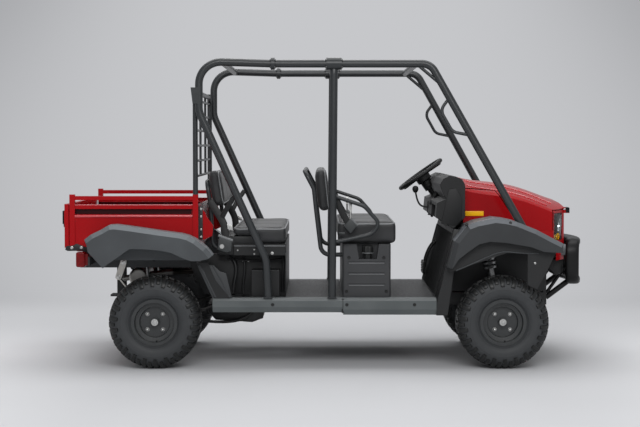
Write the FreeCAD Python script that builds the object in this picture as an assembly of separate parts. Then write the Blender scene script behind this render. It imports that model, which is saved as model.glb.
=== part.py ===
"""A crew side-by-side utility vehicle: two bench seats, a tubular roll cage, a tilting cargo bed,
a painted nose with a lifting hood, and four steel wheels with lugged tyres.

The frame is the vehicle's own: +X forward, +Y to its left, +Z up, millimetres, with the origin on
the ground under the middle of its length. Each piece is one file in parts/.
"""

import FreeCAD, Part
import math
import os

V = FreeCAD.Vector

# Layout of the whole vehicle
WHEELBASE = 2180.0
TRACK = 1170.0
FLOOR_TOP = 445.0
PANEL = 4.0
GAP = 0.3
MOVING_GAP = 6.0
OVERRUN = 60.0
BEND_ROOM_SHARE = 0.45
STRAIGHT_SHARE = 0.99
FENDER_HALF_WIDTH = 805.0
SILL_HALF_WIDTH = 700.0
CAGE_HALF_WIDTH = 672.0
BED_HALF_WIDTH = 634.0

# Tyres and steel rims
TYRE_RADIUS = 290.0
TYRE_WIDTH = 270.0
RIM_RADIUS = 146.0
RIM_SEAT_RADIUS = 129.0
RIM_WIDTH = 210.0
RIM_WALL = 4.0
RIM_DISC_OUT = 62.0
RIM_WELL_RADIUS = 97.0
RIM_WELL_DEPTH = 24.0
TYRE_RISE_SHARES = (0.1, 0.28, 0.5, 0.8, 0.93, 1.0)
TYRE_WIDTH_SHARES = (0.88, 0.98, 1.0, 0.97, 0.88, 0.72)
HUB_CAP_RADIUS = 26.0
HUB_CAP_LENGTH = 34.0
NUT_CIRCLE_RADIUS = 68.5
NUT_RADIUS = 10.0
NUT_LENGTH = 14.0
NUTS = 4
SPINDLE_RADIUS = 17.0
SPINDLE_CLEARANCE = 0.3
SPINDLE_LENGTH = 30.0

# Steering knuckles, struts, arms and rack
KINGPIN_FOOT_INSET = 95.0
KINGPIN_FOOT_Z = 200.0
STRUT_TOP_HALF_WIDTH = 385.0
STRUT_TOP_Z = 790.0
CASTER_SETBACK = 80.0
KNUCKLE_RADIUS = 34.0
KNUCKLE_TOP_Z = 370.0
CLAMP_BOTTOM_Z = 330.0
CLAMP_LENGTH = 72.0
CLAMP_RADIUS = 31.0
DRUM_RADIUS = 92.0
DRUM_WIDTH = 46.0
STRUT_TUBE_RADIUS = 21.0
STRUT_BOOT_RADIUS = 43.0
STRUT_BOOT_LENGTH = 165.0
STRUT_BOOT_FOLDS = 6
STRUT_BOOT_FOLD_DEPTH = 6.0
STRUT_FOOT_HALF_WIDTH = 416.0
STEER_ARM_LENGTH = 112.0
STEER_ARM_THICKNESS = 16.0
STEER_ARM_WIDTH = 26.0
STEER_ARM_Z = 300.0
ARM_TUBE_RADIUS = 16.0
ARM_SPREAD = 150.0
ARM_EYE_RADIUS = 26.0
ARM_EYE_HEIGHT = 24.0
BALL_PIN_RADIUS = 9.0
BALL_PIN_LENGTH = 20.0
BALL_PIN_CLEARANCE = 0.3
RACK_RADIUS = 12.0
RACK_HOUSING_RADIUS = 24.0
RACK_HOUSING_HALF_LENGTH = 170.0
RACK_END_RADIUS = 15.0
RACK_CLAMP_SHARE = 0.8
RACK_CLEARANCE = 0.5
PINION_HEIGHT = 60.0
MOUNT_HEIGHT = 12.0
LOWER_CROSS_TOP = 255.0
LOWER_CROSS_HEIGHT = 40.0
LOWER_CROSS_HALF_WIDTH = 190.0
LOWER_CROSS_LEG = 30.0
LOWER_CROSS_LEDGE = 24.0

# Steering wheel and column
STEER_X = 636.0
STEER_Y = 330.0
STEER_Z = 1198.0
STEER_TILT_DEG = 35.5
STEER_RIM_RADIUS = 165.0
STEER_GRIP_RADIUS = 14.0
STEER_SPOKES = 3
STEER_SPOKE_WIDTH = 34.0
STEER_SPOKE_THICKNESS = 10.0
STEER_HUB_RADIUS = 52.0
STEER_HUB_LENGTH = 58.0
COLUMN_RADIUS = 26.0
COLUMN_LENGTH = 180.0
COLUMN_SWITCH_RADIUS = 38.0
COLUMN_SWITCH_LENGTH = 60.0
STALK_RADIUS = 6.0
STALK_LENGTH = 110.0

# Welded frame
RAIL_WIDTH = 60.0
RAIL_HEIGHT = 80.0
RAIL_CENTRE_Y = 230.0
RAIL_FRONT_SETBACK = 128.0
RAIL_REAR_X = -600.0
REAR_RAIL_CENTRE_Y = 390.0
REAR_RAIL_BOTTOM = 615.0
REAR_RAIL_TOP = 703.0
CROSS_WIDTH = 50.0
REAR_CROSS_XS = (-1000.0, -1250.0, -1402.0, -1500.0)
REAR_RAIL_END_X = -1590.0
BRACKET = 12.0
SIDE_BEAM_Y = 680.0
SIDE_BEAM_WIDTH = 54.0
FENDER_ARM_X = -1250.0
FENDER_ARM_PITCH = 140.0
OUTRIGGER_HEIGHT = 50.0
TOWER_WIDTH = 50.0
TOWER_PLATE = 12.0
NOSE_POST = 24.0
FOOT_BEAM_TOP = 862.0
FOOT_BEAM_HEIGHT = 35.0
FOOT_BEAM_MARGIN = 5.0
HITCH_PLATE = 12.0
HITCH_REACH = 90.0
HITCH_Z = 394.0
HITCH_HOLE_RADIUS = 13.0
HITCH_PLATE_HALF_WIDTH = 60.0

# Floor, toe board and sills
FLOOR_REAR_X = -271.0
FLOOR_FRONT_X = 665.0
TOE_TOP_X = 780.0
TOE_TOP_Z = 873.0
TOE_HALF_WIDTH = 614.0
SILL_SEAM_X = 88.0
SILL_SEAM = 3.0
SILL_REAR_X = -725.0
SILL_INNER_Y = 614.0
SILL_INSET = 8.0
SILL_REAR_BOTTOM = 356.0
SILL_FRONT_BOTTOM = 341.0
SILL_CHAMFER = 16.0
SILL_CHAMFER_RISE = 34.0
SILL_LIP = 30.0

# Roll cage
CAGE_TUBE = 24.0
CAGE_TOP_Z = 1903.0
CAGE_REAR_RISE = 15.0
CAGE_REAR_X = -807.0
CAGE_REAR_BEND = 150.0
CAGE_KNEE_DROP = 299.0
CAGE_ELBOW_X = -391.0
CAGE_ELBOW_Z = 682.0
CAGE_FOOT_X = -379.0
CAGE_REAR_JOINT_X = -348.0
CAGE_CROSS_RADIUS = 20.0
CAGE_FLANGE_RADIUS = 38.0
CAGE_FLANGE_THICKNESS = 12.0
CAGE_FLANGE_BOLTS = 4
CAGE_FLANGE_BOLT_RADIUS = 6.0
HOOP_X = 32.0
HOOP_BEND = 60.0
HOOP_LEAN = 12.0
POST_TOP_X = 630.0
POST_FOOT_SETBACK = 336.0
POST_FOOT_HALF_WIDTH = 742.0
POST_BEND = 90.0
CAGE_FOOT_PLATE = 8.0
CAGE_FOOT_PLATE_SIZE = 56.0
BRACE_RADIUS = 10.0
BRACE_ROOF_SETBACK = 87.0
BRACE_POST_DROP = 137.0
GRAB_RADIUS = 10.0
GRAB_TOP_DROP = 217.0
GRAB_LENGTH = 270.0
GRAB_DEPTH = 88.0
GRAB_BEND = 60.0
GRAB_BEND_SHARES = (0.15, 0.72)
CAGE_PLATE_DEPTH = 62.0
CAGE_PLATE_HEIGHT = 100.0
CAGE_PLATE_DROP = 147.0

# Front bench
FRONT_BASE_REAR_X = 86.0
FRONT_BASE_FRONT_X = 390.0
FRONT_BASE_HALF_WIDTH = 600.0
FRONT_BASE_TOP = 776.0
BASE_NOTCH_LENGTH = 140.0
BASE_NOTCH_HEIGHT = 94.0
BASE_NOTCH_DEPTH = 90.0
BASE_NOTCH_REAR = 90.0
BASE_RIBS = 3
BASE_RIB_HEIGHT = 10.0
BASE_RIB_LENGTH = 228.0
BASE_RIB_DEPTH = 2.5
BASE_RIB_TOP = 667.0
BASE_RIB_PITCH = 70.0
BASE_CORNER = 14.0
CAP_RADIUS = 30.0
CAP_HEIGHT = 28.0
CAP_NECK_SHARE = 0.7
CUSHION_THICKNESS = 142.0
FRONT_CUSHION_REAR_X = 50.0
FRONT_CUSHION_FRONT_X = 430.0
CUSHION_HALF_WIDTH = 580.0
CUSHION_ROUND = 34.0
FRONT_BACK_X = -24.0
FRONT_BACK_Z = 972.0
BACK_HEIGHT = 285.0
BACK_THICKNESS = 78.0
BACK_LEAN_DEG = 6.0
BACK_HALF_WIDTH = 560.0
BACK_ROUND = 24.0
SEAT_TUBE = 14.0
SEAT_FRAME_HALF_WIDTH = 520.0
HANDRAIL_X = -151.0
HANDRAIL_Z = 1232.0
HANDRAIL_BEND = 60.0
FRONT_FRAME_TOP_SHARE = 0.55
REAR_FRAME_TOP_SHARE = 0.7

# Rear bench
REAR_CUSHION_REAR_X = -610.0
REAR_CUSHION_FRONT_X = -262.0
REAR_CUSHION_THICKNESS = 108.0
REAR_BASE_TOP = 776.0
REAR_TRAY_BOTTOM = 703.0
REAR_BASE_HALF_WIDTH = 560.0
REAR_BACK_X = -690.0
REAR_BACK_Z = 1002.0
REAR_BACK_HEIGHT = 250.0
REAR_BACK_THICKNESS = 80.0
REAR_BACK_LEAN_DEG = 9.0

# Hip guards beside the front bench
GUARD_TUBE = 12.5
GUARD_HALF_WIDTH = 645.0
GUARD_TOP_Z = 1077.0
GUARD_FRONT_X = 318.0
GUARD_BEND_Z = 1005.0
GUARD_LOW_Z = 794.0
GUARD_RADIUS = 95.0
GUARD_ROOT_SHARE = 0.8

# Painted body: cowl, hood and front panel
BODY_REAR_X = 856.0
BODY_FRONT_X = 1548.0
BODY_HALF_WIDTH = 470.0
BODY_EDGE_INSET = 30.0
BODY_BOTTOM_Z = 660.0
BODY_REAR_CROWN_Z = 1187.0
BODY_FALL = 160.0
BODY_RIDGE_DROP_GROWTH = 20.0
BODY_EDGE_DROP = 56.0
BODY_CORNER_SETBACK = 118.0
CORNER_DROP = 16.0
APRON_STEP = 26.0
HOOD_BRIDGE = 12.0
BODY_NOSE_Y = 300.0
BODY_NOSE_SETBACK = 24.0
BODY_NOSE_ROUND_RISE = 105.0
BODY_NOSE_ROUND_RUN = 90.0
NOSE_RUN_SHARES = (0.0, 0.12, 0.45, 1.0)
NOSE_RISE_SHARES = (1.0, 0.45, 0.05, -0.25)
BODY_STATION_SHARES = (0.0, 0.28, 0.6, 0.8, 1.0)
BODY_FALL_SHARES = (0.0, 0.19, 0.45, 0.76, 1.0)
HOOD_SEAM = 5.0
HOOD_SEAM_SHARES = (0.3064, 0.5202)
HOOD_SEAM_REAR_DROP = 42.0
HOOD_FRONT_Z = 985.0
HINGE_PIN_RADIUS = 7.0
HINGE_LENGTH = 60.0
HINGE_HALF_SPREAD = 250.0
HINGE_EAR = 8.0
LAMP_BOTTOM_Z = 790.0
LAMP_TOP_Z = 963.0
LAMP_INSET = 30.0
LAMP_OUTER_INSET = 14.0
LAMP_DEPTH = 60.0
GRILLE_HALF_WIDTH = 235.0
GRILLE_BOTTOM_Z = 700.0
GRILLE_TOP_Z = 930.0
GRILLE_BARS = 6
GRILLE_BAR = 12.0
GRILLE_DEPTH = 20.0

# Dashboard, as shares of its depth and height
DASH_REAR_X = 672.0
DASH_FRONT_X = 856.0
DASH_BOTTOM_Z = 873.0
DASH_TOP_Z = 1206.0
DASH_HALF_WIDTH = 600.0
DASH_DEPTH_SHARES = (0.60, 1.0, 1.0, 0.90, 0.66, 0.46, 0.26, 0.14, 0.20, 0.36, 0.05, 0.0)
DASH_HEIGHT_SHARES = (0.0, 0.22, 0.83, 0.93, 0.99, 1.0, 0.94, 0.84, 0.72, 0.56, 0.49, 0.22)
BIN_WIDTH = 300.0
BIN_DEPTH = 90.0
BIN_HEIGHT = 86.0
BIN_CENTRE_Y = -330.0
BIN_BOTTOM_Z = 930.0

# Front fenders, as shares of their length and height
FENDER_REAR_X = 733.0
FENDER_NOSE_REACH = 15.0
FENDER_LOW_Z = 505.0
FENDER_TOP_Z = 948.0
FENDER_CHAMFER = 22.0
FENDER_CHAMFER_DROP = 27.0
FENDER_CLEARANCE = 6.0
FENDER_WALL = 4.0
FENDER_X_SHARES = (0.0, 0.06, 0.17, 0.25, 0.41, 0.50, 0.60, 0.77, 0.90, 1.0)
FENDER_TOP_SHARES = (0.31, 0.68, 0.90, 0.95, 1.0, 0.985, 0.95, 0.84, 0.73, 0.65)
FENDER_LIP_X_SHARES = (1.0, 0.96, 0.83, 0.72, 0.50, 0.36, 0.27, 0.19, 0.10)
FENDER_LIP_SHARES = (0.52, 0.52, 0.535, 0.60, 0.66, 0.675, 0.64, 0.55, 0.44)
LINER_Y = 745.0
LINER_X_SHARES = (0.03, 0.28, 0.46, 0.52, 0.70)
LINER_SHARES = (0.24, 0.38, 0.48, 0.51, 0.50)
SKIRT_X_SHARES = (0.70, 0.70, 0.785, 0.86, 0.94)
SKIRT_SHARES = (0.50, 0.06, 0.0, 0.22, 0.50)
LEG_REAR_X = 671.0
LEG_WIDTH = 62.0
LEG_HEAD_WIDTH = 50.0
LEG_BOTTOM_Z = 338.0
LEG_INNER_Y = 645.0
LEG_HEAD_Z = 650.0

# Rear fenders, as shares of their length and height
REAR_FENDER_REAR_X = -1509.0
REAR_FENDER_FRONT_X = -718.0
REAR_FENDER_LOW_Z = 629.0
REAR_FENDER_TOP_Z = 908.0
REAR_FENDER_INNER_Y = 646.0
REAR_FENDER_X_SHARES = (0.0, 0.05, 0.13, 0.19, 0.24, 0.36, 0.60, 0.75, 0.81, 0.87, 0.95, 1.0)
REAR_FENDER_TOP_SHARES = (0.67, 0.78, 0.89, 0.99, 1.0, 0.957, 0.857, 0.80, 0.757, 0.67, 0.49, 0.32)
REAR_FENDER_LIP_X_SHARES = (0.965, 0.90, 0.83, 0.77, 0.68, 0.60, 0.48, 0.36, 0.31, 0.27, 0.19, 0.147, 0.03)
REAR_FENDER_LIP_SHARES = (0.25, 0.20, 0.20, 0.26, 0.38, 0.43, 0.46, 0.47, 0.38, 0.29, 0.14, 0.04, 0.405)

# Splash guards ahead of the rear wheels
SPLASH_TOP_X = -829.0
SPLASH_TOP_Z = 668.0
SPLASH_TOP_LENGTH = 75.0
SPLASH_FOOT_X = -717.0
SPLASH_FOOT_LENGTH = 100.0
SPLASH_OUTER_Y = 690.0
SPLASH_INNER_Y = 470.0
SPLASH_KNEE_X = -704.0
SPLASH_KNEE_Z = 556.0

# Front guard
GUARD_SETBACK = 27.0
GUARD_BOW = 57.0
GUARD_BAR_DEPTH = 88.0
GUARD_BLANK_REAR = 120.0
GUARD_BLANK_FRONT = 300.0
GUARD_BAR_WIDTH = 46.0
GUARD_SPAN = 360.0
GUARD_BOTTOM_Z = 497.0
GUARD_HEIGHT = 316.0
GUARD_CORNER = 90.0
GUARD_UPRIGHT_Y = 150.0
GUARD_STRUT_RADIUS = 20.0
GUARD_STRUT_Y = 230.0

# Cargo bed
BED_REAR_X = -1622.0
BED_FRONT_X = -817.0
BED_BOTTOM_Z = 762.0
BED_RIM_Z = 1027.0
BED_SHEET = 4.0
BED_POST_DEPTH = 34.0
BED_POST_TOP = 1090.0
BED_POST_THICKNESS = 26.0
BED_RAIL = 25.0
BED_RAIL_BOTTOM = 1055.0
BED_FLANGE_HEIGHT = 28.0
BED_GROOVE_HEIGHT = 34.0
BED_GROOVE_DEPTH = 24.0
BED_LEDGE_HEIGHT = 12.0
BED_FLOOR_RIBS = 7
BED_FLOOR_RIB_HEIGHT = 8.0
BED_FLOOR_RIB_WIDTH = 60.0
BED_LONGERON_WIDTH = 44.0
BED_PIVOT_X = -1562.0
BED_PIVOT_Z = 735.0
BED_HINGE_PLATE = 12.0
BED_HINGE_RADIUS = 21.0
BED_PIN_RADIUS = 10.0
BED_PIN_CLEARANCE = 0.3
TAILGATE_THICKNESS = 26.0
TAILGATE_HINGE_Y = 300.0
TAILGATE_BOTTOM_Z = 757.0
TAILGATE_TOP_Z = 1030.0
TAILGATE_RECESS = 10.0
TAILGATE_FRAME = 44.0
LATCH_HEIGHT = 80.0
LATCH_WIDTH = 34.0
LATCH_DEPTH = 12.0
LATCH_TOP_Z = 986.0
WING_THICKNESS = 22.0
WING_BOTTOM_Z = 803.0
WING_TOP_Z = 1018.0
WING_REACH = 91.0
WING_RUN_SHARES = (0.0, 0.45, 0.55, 1.0, 0.93, 0.3, 0.0)
WING_HEIGHT_SHARES = (1.0, 0.797, 0.678, 0.416, 0.119, 0.0, 0.102)

# Screen behind the rear bench
SCREEN_TUBE = 16.0
SCREEN_BAR = 8.0
SCREEN_UPRIGHT_Y = 210.0
SCREEN_TOP_Z = 1730.0
SCREEN_BARS = 6
SCREEN_BAR_PITCH = 96.0
SCREEN_LOW_BAR_Z = 1203.0
SCREEN_CORNER = 60.0

# Rear running gear
AXLE_TUBE = 36.0
DIFF_RADIUS = 105.0
DIFF_WIDTH = 170.0
SPRING_WIDTH = 50.0
SPRING_LEAF = 8.0
SPRING_LEAVES = 3
SPRING_EYE_CLEAR = 5.0
SPRING_REAR_X = -1345.0
SPRING_REAR_Z = 556.0
SPRING_FRONT_X = -700.0
SPRING_FRONT_Z = 392.0
SPRING_EYE_RADIUS = 18.0
SHACKLE_TOP_Z = 650.0
SHACKLE_TOP_X = -1312.0
SHACKLE_WIDTH = 40.0
SHACKLE_THICKNESS = 8.0
DAMPER_RADIUS = 22.0
DAMPER_ROD_RADIUS = 9.0
DAMPER_Y = 308.0
DAMPER_FOOT_X = -1140.0
DAMPER_FOOT_Z = 330.0
DAMPER_TOP_X = -1176.0
DAMPER_TOP_Z = 640.0
DAMPER_BODY_SHARE = 0.55
DAMPER_EYE_SHARE = 0.8

# Engine, exhaust and tail lamps
ENGINE_REAR_X = -560.0
ENGINE_FRONT_X = -310.0
ENGINE_HALF_WIDTH = 190.0
ENGINE_BOTTOM_Z = 441.0
ENGINE_TOP_Z = 690.0
CRANKCASE_SHARE = 0.6
HEAD_BASE_SHARE = 0.5
HEAD_CORE_SHARE = 0.8
HEAD_SETBACK = 60.0
HEAD_FIN_PROUD = 18.0
ENGINE_SOLE_INSET = 30.0
ENGINE_SOLE_HEIGHT = 17.5
HEAD_WIDTH = 200.0
HEAD_LENGTH = 170.0
HEAD_FINS = 5
HEAD_FIN = 6.0
HEAD_FIN_PITCH = 14.0
BELT_COVER_RADIUS = 120.0
BELT_COVER_THICKNESS = 90.0
BELT_COVER_SPREAD = 230.0
BELT_COVER_REAR_SHARE = 0.9
BELT_COVER_FRONT_SHARE = 0.8
AIRBOX_LENGTH = 220.0
AIRBOX_WIDTH = 150.0
AIRBOX_HEIGHT = 150.0
AIRBOX_BOTTOM_Z = 500.0
DUCT_RADIUS = 30.0
DUCT_LENGTH = 40.0
MUFFLER_RADIUS = 62.0
MUFFLER_LENGTH = 400.0
MUFFLER_X = -1235.0
MUFFLER_Z = 540.0
MUFFLER_SHIFT = 90.0
MUFFLER_HANGER_SHARE = 0.6
PIPE_BEND_SHARES = (0.35, 0.7)
TAIL_PIPE_LENGTH = 60.0
EXHAUST_RADIUS = 19.0
TAIL_LAMP_DEPTH = 58.0
TAIL_LAMP_WIDTH = 70.0
TAIL_LAMP_HEIGHT = 94.0
TAIL_LAMP_BOTTOM_Z = 638.0
TAIL_LAMP_X = -1576.0
TAIL_LAMP_Y = 660.0
TAIL_LAMP_BASE = 18.0
BATTERY_LENGTH = 180.0
BATTERY_WIDTH = 130.0
BATTERY_HEIGHT = 170.0
BATTERY_OUTER_Y = 560.0

FRONT_AXLE_X = WHEELBASE / 2
REAR_AXLE_X = -WHEELBASE / 2
RAIL_FRONT_X = BODY_FRONT_X - RAIL_FRONT_SETBACK
POST_FOOT_X = BODY_FRONT_X - POST_FOOT_SETBACK
BODY_CORNER_X = BODY_FRONT_X - BODY_CORNER_SETBACK
GUARD_REAR_X = BODY_FRONT_X - GUARD_SETBACK
BODY_EDGE_Y = BODY_HALF_WIDTH - BODY_EDGE_INSET
FENDER_INNER_Y = BODY_HALF_WIDTH + FENDER_CLEARANCE
FENDER_FRONT_X = BODY_CORNER_X + FENDER_NOSE_REACH
WHEEL_Y = TRACK / 2
FOOT_BEAM_HALF_LENGTH = POST_FOOT_HALF_WIDTH + CAGE_FOOT_PLATE_SIZE / 2 + FOOT_BEAM_MARGIN
CAGE_KNEE_Z = CAGE_TOP_Z - CAGE_KNEE_DROP
CAGE_PLATE_TOP_Z = CAGE_TOP_Z - CAGE_PLATE_DROP
FRAME_TOP = FLOOR_TOP - PANEL
FRAME_BOTTOM = FRAME_TOP - RAIL_HEIGHT
X_AXIS = V(1, 0, 0)
Y_AXIS = V(0, 1, 0)
Z_AXIS = V(0, 0, 1)
ORIGIN = V(0, 0, 0)
STEER_CENTRE = V(STEER_X, STEER_Y, STEER_Z)


def box(x0, x1, y0, y1, z0, z1):
    """A block between two corners."""
    return Part.makeBox(x1 - x0, y1 - y0, z1 - z0, V(x0, y0, z0))


def rod(start, end, radius):
    """A round bar between two points."""
    run = end - start
    return Part.makeCylinder(radius, run.Length, start, run)


def flipped(shape):
    """The same shape on the other side of the vehicle's centre plane."""
    return shape.mirror(ORIGIN, Y_AXIS)


def pair(shape):
    """A right and a left copy, as separate solids."""
    return Part.makeCompound([shape, flipped(shape)])


def together(shapes):
    """Shapes fused to one solid, with seams between flush faces removed."""
    first, rest = shapes[0], list(shapes[1:])
    return (first.fuse(rest) if rest else first).removeSplitter()


def polygon(points):
    """A flat face with straight edges."""
    return Part.Face(Part.makePolygon(list(points) + [points[0]]))


def side_prism(outline, y0, y1):
    """A side-view outline, as (x, z) pairs, carried across from y0 to y1."""
    return polygon([V(x, y0, z) for x, z in outline]).extrude(V(0, y1 - y0, 0))


def plan_prism(outline, z0, z1):
    """A plan outline, as (x, y) pairs, carried up from z0 to z1."""
    return polygon([V(x, y, z0) for x, y in outline]).extrude(V(0, 0, z1 - z0))


def section_prism(outline, x0, x1):
    """A cross-section outline, as (y, z) pairs, carried forward from x0 to x1."""
    return polygon([V(x0, y, z) for y, z in outline]).extrude(V(x1 - x0, 0, 0))


def rounded_path(points, radius):
    """Straight runs joined by tangent arcs, each at most as large as its runs allow."""
    edges = []
    start = points[0]
    for before, corner, after in zip(points, points[1:], points[2:]):
        back, ahead = before - corner, after - corner
        turn = math.pi - back.getAngle(ahead)
        room = BEND_ROOM_SHARE * min(back.Length, ahead.Length)
        cut = min(radius * math.tan(turn / 2), room)
        bend = cut / math.tan(turn / 2)
        enter = corner + V(back).normalize() * cut
        leave = corner + V(ahead).normalize() * cut
        bisector = (V(back).normalize() + V(ahead).normalize()).normalize()
        middle = corner + bisector * (bend / math.cos(turn / 2) - bend)
        edges.append(Part.LineSegment(start, enter).toShape())
        edges.append(Part.Arc(enter, middle, leave).toShape())
        start = leave
    edges.append(Part.LineSegment(start, points[-1]).toShape())
    return Part.Wire(edges)


def bent_tube(points, tube_radius, bend_radius):
    """A round bar along straight runs joined by arcs."""
    path = rounded_path(points, bend_radius)
    ring = Part.Wire(Part.makeCircle(tube_radius, points[0], points[1] - points[0]))
    return path.makePipeShell([ring], True, False)


def softened(shape, radius, wanted=None):
    """The shape with its edges rounded, or only those that wanted(edge) picks."""
    edges = [e for e in shape.Edges if wanted is None or wanted(e)]
    return shape.makeFillet(radius, edges)


def mix(a, b, share):
    """The value that lies a share of the way from a to b."""
    return a + (b - a) * share


def shared_outline(x_shares, z_shares, x0, x1, z0, z1):
    """Points placed by shares of a length and of a height."""
    return [(mix(x0, x1, a), mix(z0, z1, b)) for a, b in zip(x_shares, z_shares)]


def offset_line(points, distance):
    """A polyline moved sideways by a distance, to the left of its direction, with mitred corners."""
    moved = []
    for n, (x, z) in enumerate(points):
        normals = []
        for a, b in ((n - 1, n), (n, n + 1)):
            if 0 <= a and b < len(points):
                dx, dz = points[b][0] - points[a][0], points[b][1] - points[a][1]
                length = math.hypot(dx, dz)
                normals.append((-dz / length, dx / length))
        nx = sum(v[0] for v in normals) / len(normals)
        nz = sum(v[1] for v in normals) / len(normals)
        scale = distance / (nx * nx + nz * nz)
        moved.append((x + nx * scale, z + nz * scale))
    return moved


def strip(points, thickness):
    """The closed outline of a bent sheet that lies left of a polyline."""
    return list(points) + list(reversed(offset_line(points, thickness)))


def ruled(sections):
    """A solid through polygons with as many corners each."""
    wires = [Part.makePolygon(list(s) + [s[0]]) for s in sections]
    return Part.makeLoft(wires, True, True)


def wheel_disc_profile():
    """Half the rim's section, outboard of the wheel's middle, as (radius, offset) pairs."""
    half = RIM_WIDTH / 2
    wall = RIM_WALL
    face = RIM_DISC_OUT
    floor = face - RIM_WELL_DEPTH
    bore = SPINDLE_RADIUS + SPINDLE_CLEARANCE
    return [
        (bore, floor),
        (RIM_WELL_RADIUS, floor),
        (RIM_WELL_RADIUS + wall, face),
        (RIM_SEAT_RADIUS - wall * 2, face + wall),
        (RIM_SEAT_RADIUS, face + wall),
        (RIM_SEAT_RADIUS, half - wall),
        (RIM_RADIUS, half - wall),
        (RIM_RADIUS, half),
        (RIM_SEAT_RADIUS - wall, half),
        (RIM_SEAT_RADIUS - wall * 2, face + wall * 2),
        (RIM_WELL_RADIUS, face + wall),
        (RIM_WELL_RADIUS - wall, floor + wall),
        (bore, floor + wall),
    ]


def revolved(profile, centre):
    """A solid of revolution about the wheel's own axis; outboard is -Y."""
    face = polygon([V(centre.x + r, centre.y - offset, centre.z) for r, offset in profile])
    return face.revolve(centre, Y_AXIS, 360)


def rim(centre):
    """A pressed steel rim: barrel, dished disc, wheel nuts and hub cap, outboard to -Y."""
    half = RIM_WIDTH / 2
    wall = RIM_WALL
    barrel = [
        (RIM_SEAT_RADIUS - wall, RIM_DISC_OUT + wall),
        (RIM_SEAT_RADIUS, RIM_DISC_OUT + wall),
        (RIM_SEAT_RADIUS, wall - half),
        (RIM_RADIUS, wall - half),
        (RIM_RADIUS, -half),
        (RIM_SEAT_RADIUS - wall, -half),
    ]
    face = V(centre.x, centre.y - (RIM_DISC_OUT - RIM_WELL_DEPTH + wall), centre.z)
    pieces = [revolved(wheel_disc_profile(), centre), revolved(barrel, centre)]
    for n in range(NUTS):
        angle = math.pi / NUTS + n * 2 * math.pi / NUTS
        seat = face + V(math.cos(angle), 0, math.sin(angle)) * NUT_CIRCLE_RADIUS + Y_AXIS * (wall / 2)
        pieces.append(rod(seat, seat - Y_AXIS * (NUT_LENGTH + wall / 2), NUT_RADIUS))
    cap = rod(face + Y_AXIS * (wall / 2), face - Y_AXIS * HUB_CAP_LENGTH, HUB_CAP_RADIUS)
    bore = rod(
        face + Y_AXIS * OVERRUN,
        face - Y_AXIS * (SPINDLE_LENGTH + GAP),
        SPINDLE_RADIUS + SPINDLE_CLEARANCE,
    )
    return together(pieces + [cap]).cut(bore)


def tyre(centre):
    """A balloon tyre out to the tips of its lugs."""
    half = TYRE_WIDTH / 2
    bead = RIM_WIDTH / 2 - RIM_WALL - GAP
    profile = [
        (RIM_SEAT_RADIUS + GAP, bead),
        (RIM_RADIUS, bead),
    ]
    profile += [
        (mix(RIM_RADIUS, TYRE_RADIUS, rise), half * width)
        for rise, width in zip(TYRE_RISE_SHARES, TYRE_WIDTH_SHARES)
    ]
    outline = profile + [(r, -offset) for r, offset in reversed(profile)]
    return revolved(outline, centre)


def front_rim():
    """The front right rim."""
    return rim(V(FRONT_AXLE_X, -WHEEL_Y, TYRE_RADIUS))


def rear_rim():
    """The rear right rim."""
    return rim(V(REAR_AXLE_X, -WHEEL_Y, TYRE_RADIUS))


def front_tyre():
    """The front right tyre."""
    return tyre(V(FRONT_AXLE_X, -WHEEL_Y, TYRE_RADIUS))


def rear_tyre():
    """The rear right tyre."""
    return tyre(V(REAR_AXLE_X, -WHEEL_Y, TYRE_RADIUS))


def kingpin():
    """The foot and head of the right-hand steering axis."""
    foot = V(FRONT_AXLE_X, KINGPIN_FOOT_INSET - WHEEL_Y, KINGPIN_FOOT_Z)
    head = V(FRONT_AXLE_X - CASTER_SETBACK, -STRUT_TOP_HALF_WIDTH, STRUT_TOP_Z)
    return foot, head


def at_height(a, b, z):
    """The point at height z on the line from a to b."""
    return a + (b - a) * ((z - a.z) / (b.z - a.z))


def hub_parts(hub):
    """Brake drum and spindle on the right-hand side, up to the back of the wheel's disc."""
    disc = V(hub.x, hub.y - (RIM_DISC_OUT - RIM_WELL_DEPTH), hub.z)
    face = disc + Y_AXIS * GAP
    drum = rod(face + Y_AXIS * DRUM_WIDTH, face, DRUM_RADIUS)
    spindle = rod(face, disc - Y_AXIS * (RIM_WALL + SPINDLE_LENGTH), SPINDLE_RADIUS)
    return drum, spindle, face + Y_AXIS * DRUM_WIDTH


def strut_line():
    """The ends of the right-hand strut's centre line, inboard of the tyre."""
    foot, head = kingpin()
    low = V(at_height(foot, head, KNUCKLE_TOP_Z).x, -STRUT_FOOT_HALF_WIDTH, KNUCKLE_TOP_Z + CLAMP_LENGTH)
    return at_height(low, head, CLAMP_BOTTOM_Z), head


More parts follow.
